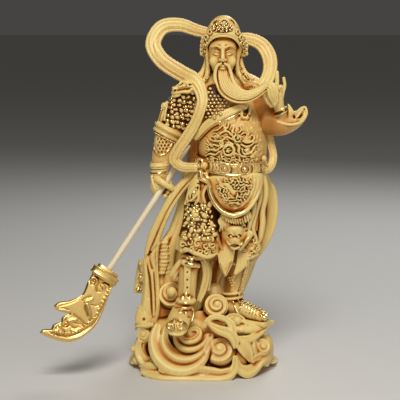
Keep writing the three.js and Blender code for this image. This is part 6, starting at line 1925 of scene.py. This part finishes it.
# %% Beard
def strands(count, depth, rim=0.0):
    """Fine parallel cuts, and a raised rim on the lower border of the beard."""
    def relief(across, out, along):
        lines = 0.5 + 0.5 * np.cos(count * math.pi * (across + 1) + 0.5 * np.sin(along / 5))
        return -depth * lines**2 + rim * bell(across, 0.86, 0.13) - 0.9 * rim * bell(across, 0.66, 0.08)
    return relief


head.sweep("""
    11.3 -9.6 171 4.6 4, 11.7 -12.4 165.4 4.9 4, 14 -15.8 159.9 5.2 3.6, 18.8 -18 156.6 4.6 3.2,
    24.6 -18.8 155.8 3.5 2.9, 30.2 -18.4 157.9 2.8 2.5, 34.6 -17.5 160.9 2.2 2.1""", soft=0.7,
    relief=strands(9, 0.36, 0.8))
head.sweep("""
    34.8 -17.6 162.2 1.7 1.6, 38 -18.8 160.6 3.3 1.9, 39 -18.6 156.4 3.4 1.8, 39.8 -18 152.8 2 1.2,
    40 -17.8 149.8 0.4 0.6""", soft=0.5, relief=strands(4, 0.4))
for line in (
    """
        10.6 -15.6 173.6 0.7 0.8, 8.4 -15.4 172.4 1 1, 7.2 -15 168.6 1.1 1.1, 7.3 -15.4 164.6 1.1 1.1,
        9 -16.6 160.4 0.6 0.8""",
    """
        12.2 -15.6 173.6 0.7 0.8, 14.4 -15.4 172.4 1 1, 15.8 -15 168.6 1.1 1.1, 17.3 -16 163.6 1.1 1.2,
        21 -17.8 159.8 0.7 0.8""",
):
    head.sweep(line, soft=0.35, relief=strands(2, 0.2))
carved("head", head, boxwood, most=140000, fine=0.8, broad=2.8)

# %% [markdown]
# ### Flower and beads of the helmet
# A string of beads follows the brim on both sides, and a flower of two rings of petals sits on the stained
# boss. Each one is set where a line from the front meets the helmet.

# %% Flower and beads of the helmet
beads, faces = [], []
for side in (-1, 1):
    for k in range(6):
        start = np.array([[12 + side * (9.2 + 0.36 * k), -BENCH, 187.6 - 1.7 * k]])
        found, facing, hit = head.land(start, BACK, reach=90)
        if hit[0]:
            beads.append(found[0])
            faces.append(facing[0])
studs("helmet_beads", np.array(beads), faces, [UP] * len(beads), (0.62, 0.62, 0.6), gilt=0.8, seed=7)
starts, aheads = [], []
for count, wide, high, turn in ((11, 4.9, 2.1, 0.0), (7, 2.6, 1.1, 0.3), (1, 0.0, 0.0, 0.0)):
    for k in range(count):
        angle = turn + 2 * math.pi * k / count
        starts.append([BOSS[0] + wide * math.cos(angle), -BENCH, BOSS[1] + high * math.sin(angle)])
        aheads.append((math.cos(angle), 0, math.sin(angle)))
found, facing, hit = head.land(np.array(starts), BACK, reach=90)
found += 0.25 * facing
studs("helmet_flower", found[hit], facing[hit], np.array(aheads)[hit], (0.78, 1.25, 1.2), gilt=0.7, point=0.5,
    disorder=0.2, seed=8)

# %% [markdown]
# ## Sash
# A long ribbon loops up behind the head on both sides, comes down over the chest and is tied at the belt.
# Two fine grooves run along it. Its broad side has to keep facing the viewer while the path turns, so one
# facing towards the front is kept at every station.

# %% Sash ribbons
sash = Block((-35, -21, 103), (50, 14, 201), step=0.42)


def ribbon(across, out, along):
    lines = bell(np.abs(across), 0.62, 0.09) + 0.6 * bell(across, 0.1, 0.12)
    return -0.42 * lines + 0.25 * (np.abs(across) > 0.75)


def fold_shade(across, out, along):
    """Painted shade on one side of the ribbon: it changes sides where the ribbon turns over behind the head."""
    middle = 0.45 - 0.75 * (1 - ease(34, 58, along))
    return np.where(np.abs(across - middle) < 0.15, -0.4, 0.0)


right_loop = table("""
    6 7 189.5 2.6 1.8, -2 8 191.2 3.1 1.6, -13 7 194.6 3.6 1.6, -22.5 5 193 4 1.6, -27.4 2 184 4.2 1.6,
    -23 -1 175.5 4.2 1.6, -12 -4 168 4.3 1.8, -3.4 -8.5 163.2 3.9 2, 0.2 -13 154 3 2, -1.6 -15 146 2.7 2,
    -5 -15 138.6 2.8 2, -9.4 -14.6 131.6 2.9 2, -13.8 -14 125 2.9 2, -15.6 -13.5 120.4 2.7 2,
    -11.4 -14 116.6 2.5 2, -3 -15.4 116.2 2.3 1.9""")
sash.sweep(right_loop, square=0.75, soft=0.5, relief=ribbon, gilt=fold_shade)
left_loop = table("""
    19 7 186.8 2.6 1.8, 26 8 186.8 3.1 1.6, 33.4 6.5 183.8 3.6 1.6, 37.6 3.5 177.6 3.9 1.6, 38.2 -1 170 3.7 1.6,
    35.4 -5.5 163 3.5 1.6, 30 -7 158 3.2 1.6""")
sash.sweep(left_loop, square=0.75, soft=0.5, relief=ribbon)
left_end = table("""
    35 1 140 2.1 2.5, 38.4 0 130 2.1 2.7, 40.2 -2 120 2.1 2.7, 37.8 -5 114.6 2.1 2.5, 33.4 -8 113.6 2.1 2.1""")
sash.sweep(left_end, square=0.75, soft=0.5, relief=ribbon)
carved("sash", sash, boxwood, most=42000, fine=1.0, broad=3.4)

# %% [markdown]
# ## Pole and blade
# The pole is a separate, paler rod that tapers to its tail. The blade is sawn from sheet and has a ground
# bevel, so we build it as two bevelled faces from one outline and engrave a cloud scroll near the collar.

# %% Line of the halberd
AXIS = unit([-0.537, -0.281, -0.795])
TAIL = GRIP - 28.2 * AXIS
FLAT = unit(np.array(FRONT) - np.dot(FRONT, AXIS) * AXIS)
SIDE = np.cross(-FLAT, AXIS)
POLE_RADIUS = 1.7


def by_pole(side, depth, along):
    """A spot in mm from the pole's own measures: to its side, towards the back, and along it."""
    return TAIL + side * SIDE - depth * FLAT + along * AXIS


# %% [markdown]
# ### Pole
# A turned rod needs no block. Rings of points are joined by faces, thin at the pointed tail and slightly
# uneven further on, as hand-sanded wood is.

# %% Pole
AROUND = 24  # points round the pole
rings = [(0.25, 0), (0.42, 0.6), (0.62, 4), (0.8, 9.9), (0.95, 17), (1, 22)]
rings += [(1 + 0.012 * math.sin(1.7 * k), 22 + 4 * k) for k in range(1, 18)]
turns = np.linspace(0, 2 * math.pi, AROUND, endpoint=False)
radius = POLE_RADIUS * 0.985
points = [by_pole(radius * r * math.cos(t), radius * r * math.sin(t), a + 0.1) for r, a in rings for t in turns]
nexts = [(k + 1) % AROUND for k in range(AROUND)]
faces = []
for low in range(0, AROUND * (len(rings) - 1), AROUND):
    high = low + AROUND
    faces += [[low + k, low + after, high + after, high + k] for k, after in enumerate(nexts)]
points += [by_pole(0, 0, rings[0][1] - 0.05 + 0.1), by_pole(0, 0, rings[-1][1] + 0.1)]
caps = [[len(points) - 2, after, k] for k, after in enumerate(nexts)]
caps += [[len(points) - 1, high + k, high + after] for k, after in enumerate(nexts)]
triangles = np.array([f[:3] for f in faces] + [[f[0], f[2], f[3]] for f in faces] + caps)
masks = {key: np.full(len(points), value) for key, value in (("hollow", 0.42), ("deep", 0.4), ("gilt", 0.0))}
pole_mesh = mesh_of("pole", np.array(points), triangles, **masks)
pole_mesh.materials.append(wood_finish("pale pole wood", "F3E6C8", "DDBE8A", "8A6234", gilded=False))
dress("pole", pole_mesh, "halberd_pole", "pale_wood")
print("pole:", len(triangles), "triangles")

# %% [markdown]
# ### Blade
# The blade is worked flat on its own bench and then set on the pole's line. Its outline is a closed line of
# curves, and the distance to that line gives both the sheet and its ground bevel. Rims and scrolls are
# raised and cut on both faces in turn.

# %% Blade
COLLAR = (16.8, 7.4, 7.2)
COLLAR_AT = 84
BLADE_HALF = 1.3
NECK = 0.385 * COLLAR[0]
edges = [
    [(NECK, 0), (5.8, 9), (4.7, 15.9), (8.3, 22.1), (13, 26.4), (14.2, 29.6)],
    [(14.2, 29.6), (11.8, 30.8), (4.7, 28.4)],
    [(4.7, 28.4), (6.9, 32.6), (6, 34.8)],
    [(6, 34.8), (8.7, 38.2), (8.5, 41)],
    [(8.5, 41), (12.2, 43.8), (12.4, 46.2)],
    [(12.4, 46.2), (5.7, 45.3), (-4.9, 40.7), (-10.9, 27.5), (-9.2, 14), (-7.2, 4)],
]
rim = np.vstack([through([(x, 0, y) for x, y in line], [5] * (len(line) - 1))[:-1, [0, 2]]
    for line in edges] + [[(-7.2, 4), (-NECK, 0)]])
rim[:, 1] += 0.54 * COLLAR[2]
blade = Block((-13, -5, -1.5), (17, 5, 53), step=0.27)
part, (x, y, z) = blade.window((-12, -4, -1), (16, 4, 52), 0)
flat_x, flat_z = np.broadcast_arrays(x[:, 0], z[:, 0])
away, inside = np.full(flat_x.shape, 99.0), np.zeros(flat_x.shape, bool)
for (ax, az), (bx, bz) in zip(rim, np.roll(rim, -1, 0)):
    ex, ez = bx - ax, bz - az
    share = np.clip(((flat_x - ax) * ex + (flat_z - az) * ez) / (ex * ex + ez * ez + 1e-9), 0, 1)
    away = np.minimum(away, np.hypot(flat_x - ax - share * ex, flat_z - az - share * ez))
    inside ^= ((az > flat_z) != (bz > flat_z)) & (flat_x < ax + (flat_z - az) * ex / (ez if ez else 1e-9))
flat = np.where(inside, -away, away)
half = BLADE_HALF * (0.5 + 0.5 * ease(0, 1, -flat / 1.1))
body = np.maximum(flat[:, None], np.abs(y) - half[:, None]).astype(np.float32)
blade.put(part, body, 0.3, 0.0, False)
# the collar: a narrow tier, a wide one with rounded lips, and a foot that holds the blade
for r, low, high in ((0.76, 0.0, 2.5), (1.0, 2.1, 3.1), (0.95, 2.6, 5.8), (1.0, 5.3, 6.4), (0.82, 6.2, 7.2)):
    blade.sweep(
        [[0, 0, low + 0.4, COLLAR[0] / 2 * r, COLLAR[1] / 2 * r],
        [0, 0, high - 0.4, COLLAR[0] / 2 * r, COLLAR[1] / 2 * r]],
        blunt=0.12, soft=0.3, square=0.8,
    )
# on both faces: a raised rim along the edge, a beaded line inside it, curls by the collar, a barred
# wedge in the middle and leaves towards the point
cuts = strokes("""
    -6.4 9.4 0.3, -7.2 14.4 0.35, -8.2 18.9 0.35, -9.1 24.1 0.35, -9.1 28.8 0.35, -7.8 33.5 0.35,
    -6.1 37.4 0.35, -4.1 40.4 0.35, -0.6 43.6 0.35, 3.7 45.2 0.35, 8.3 46.6 0.3 /
    -6.2 8.7 0.3, -4.8 7.6 0.4, -2.4 7.8 0.45, -0.4 9.6 0.45, 0.2 12 0.4, -1 13.8 0.35, -2.8 13.2 0.3 /
    5.4 17.9 0.35, 4.4 15.6 0.45, 2.9 14.6 0.4, 2.1 16.5 0.4, 0.2 16.2 0.35, -1.4 14.6 0.3 /
    2.7 22.3 0.5, 1.6 20 0.5, 0 18.2 0.35 /
    0 23.9 0.4, -1.3 25.6 0.5, -3.8 27.4 0.5, -6.8 29.2 0.4 /
    -7 29.5 0.3, -7.8 27.5 0.4, -8.3 24.9 0.35, -8.3 22.2 0.3 /
    2.6 31.4 0.35, -0.8 31.7 0.4, -3.8 32 0.4, -6.4 32.5 0.35 /
    -2.6 21.8 0.25, -5.3 20.8 0.3, -6.9 18.6 0.25 /
    -0.4 35 0.3, -2.5 34.4 0.35, -4.8 33.5 0.35, -6 34.2 0.3 /
    4.2 32.6 0.3, 5 34.4 0.4, 4.8 36.9 0.4 /
    5.2 39.3 0.35, 6.4 41 0.4, 6.4 43.3 0.3 /
    6 41.7 0.3, 3.7 41.5 0.5, 1.6 42.1 0.4, 1 44 0.3 /
    2.3 39.6 0.3, 0.6 37.5 0.35, -2 37.5 0.3, -3.4 35.4 0.25 /
    4.2 19.4 0.25, 5 22.9 0.35, 7.2 27 0.35, 9.8 30 0.3, 11.6 32.2 0.25 /
    11 33.2 0.25, 8.7 31.6 0.35, 6.1 30.9 0.3""")
ridges = strokes("""
    -6.9 7.6 0.35, -7.5 12.6 0.4, -8.9 17.9 0.45, -10.1 24.2 0.45, -10.3 29.3 0.45, -9.4 34 0.45,
    -7.9 37.8 0.45, -5.8 41 0.45, -2.2 44.1 0.4, 2.8 46.2 0.35, 7.6 47.6 0.3 /
    -0.6 22.9 0.55, -2.6 24.4 0.7 1.2, -4.8 26.6 0.7 1.2, -6 28.4 0.5 /
    1.2 22.6 0.4, -0.4 20.4 0.6 1.2, -1.4 18.8 0.35 /
    -1.2 9.8 0.5, -2.6 9.6 0.7 1.1, -3.8 11 0.6 /
    -1.4 39.4 0.4, -3.6 38.4 0.6, -5.2 36.6 0.4 /
    2.8 36.4 0.5, 1.4 34.4 0.7, -0.6 33.4 0.5 /
    4.8 43.6 0.4, 5.4 45.2 0.5""")
for way in (BACK, FRONT):
    draw(blade, [curl((3.6, 10.3), 2.4, 1.3, 1, 2.6, 0.5, 0.25),
        curl((3.4, 38.2), 1.5, 1.1, 1, 0.4, 0.4, 0.3)], way, height=0.4, trench=0.3)
    draw(blade, ridges, way, height=0.42)
    draw(blade, cuts, way, height=0.42, carve=True, soft=0.25)
    for (x1, z1), (x2, z2), beads in (((-6.9, 10.5), (-8.8, 24), 7), ((-8.8, 27), (-4.6, 39), 7),
            ((-3.6, 40.4), (4.6, 45), 5)):
        for share in np.linspace(0, 1, beads):
            bow = 0.9 * math.sin(math.pi * share) * (1 if z1 > 25 else 0)
            spot = (x1 + share * (x2 - x1) - 0.6 * bow, z1 + share * (z2 - z1) + 0.3 * bow)
            draw(blade, [[[spot[0] + 0.75, spot[1] - 0.2, 0.35, 1], [spot[0] + 0.75, spot[1] + 0.3, 0.35, 1]]],
                way, height=0.45)
bore = [[0, 0, -4, POLE_RADIUS + 0.15, POLE_RADIUS + 0.15], [0, 0, 6.1, POLE_RADIUS + 0.15, POLE_RADIUS + 0.15]]
blade.sweep(bore, blunt=0.05, soft=0.05, carve=True, gilt=None)


def metal_finish(name, light, mid, dark):
    material, tree, shader = fresh(name)
    # through the patina group the blade darkens in its cuts: patina, and painted shade
    streaks, clouding, shade, shade_and_patina = coated(tree, (1, 1, 0.3), light, mid, dark)
    tree.links.new(shade, shader.inputs["Base Color"])
    shader.inputs["Metallic"].default_value = 1.0
    rough = between(tree, clouding, 0.3, 0.7, 0.3, 0.46)
    tree.links.new(sums(tree, "MULTIPLY_ADD", shade_and_patina, 0.25, rough), shader.inputs["Roughness"])
    bumped(tree, shader, streaks, 0.2)
    return material


gilt_metal = metal_finish("gilt metal", "F3D188", "DDA845", "5A2C0A")
carved(
    "blade", blade, gilt_metal, most=40000, fine=0.7, broad=2.0, node="halberd_blade", part="gilt_metal",
    place=lambda spots: TAIL + spots[:, :1] * SIDE - spots[:, 1:2] * FLAT + (spots[:, 2:] + COLLAR_AT) * AXIS,
)

# %% [markdown]
# ## Floor and light
# A pale floor and soft studio lights: one large lamp above, one from the side, and a dim fill.

# %% Floor and light
floor_mesh = bpy.data.meshes.new("floor")
reach = 30.0
floor_mesh.from_pydata([(-reach, -reach, 0), (reach, -reach, 0), (reach, reach, 0), (-reach, reach, 0)], [],
    [(0, 1, 2, 3)])
floor = bpy.data.objects.new("floor", floor_mesh)
bpy.context.scene.collection.objects.link(floor)
floor_material, tree, shader = fresh("pale floor")
shader.inputs["Base Color"].default_value = (0.72, 0.71, 0.69, 1)
shader.inputs["Roughness"].default_value = 0.7
floor_mesh.materials.append(floor_material)


def lamp(name, place, target, size, power, tint=(1, 1, 1)):
    data = bpy.data.lights.new(name, "AREA")
    data.size, data.energy, data.color = size, power, tint
    light = bpy.data.objects.new(name, data)
    light.location = place
    way = np.array(target) - np.array(place)
    light.rotation_euler = Vector(way).to_track_quat("-Z", "Y").to_euler()
    bpy.context.scene.collection.objects.link(light)


lamp("key", (-0.02, -0.6, 0.78), (0, 0, 0.1), 0.34, 5.9, (1, 0.98, 0.93))
lamp("front", (0.14, -1.0, 0.42), (0, 0, 0.1), 0.6, 0.9, (1, 0.96, 0.88))
lamp("side", (0.62, -0.25, 0.32), (0, 0, 0.1), 0.4, 0.35)
lamp("rim", (0.25, 0.6, 0.6), (0, 0, 0.1), 0.4, 1.9)
world = bpy.data.worlds.new("studio")
bpy.context.scene.world = world
world.use_nodes = True
world.node_tree.nodes["Background"].inputs["Color"].default_value = (1, 0.96, 0.9, 1)
world.node_tree.nodes["Background"].inputs["Strength"].default_value = 0.06

bpy.context.scene.view_settings.view_transform = "Standard"

# %% [markdown]
# ## Finish
# The last cell counts the triangles of every mesh, in all and in the largest piece.

# %% Finish
pieces = [piece.data for piece in bpy.context.scene.objects if piece.type == "MESH"]
for mesh in pieces:
    mesh.calc_loop_triangles()
faces = [len(mesh.loop_triangles) for mesh in pieces]
print("triangles in all:", sum(faces), "most in one piece:", max(faces))
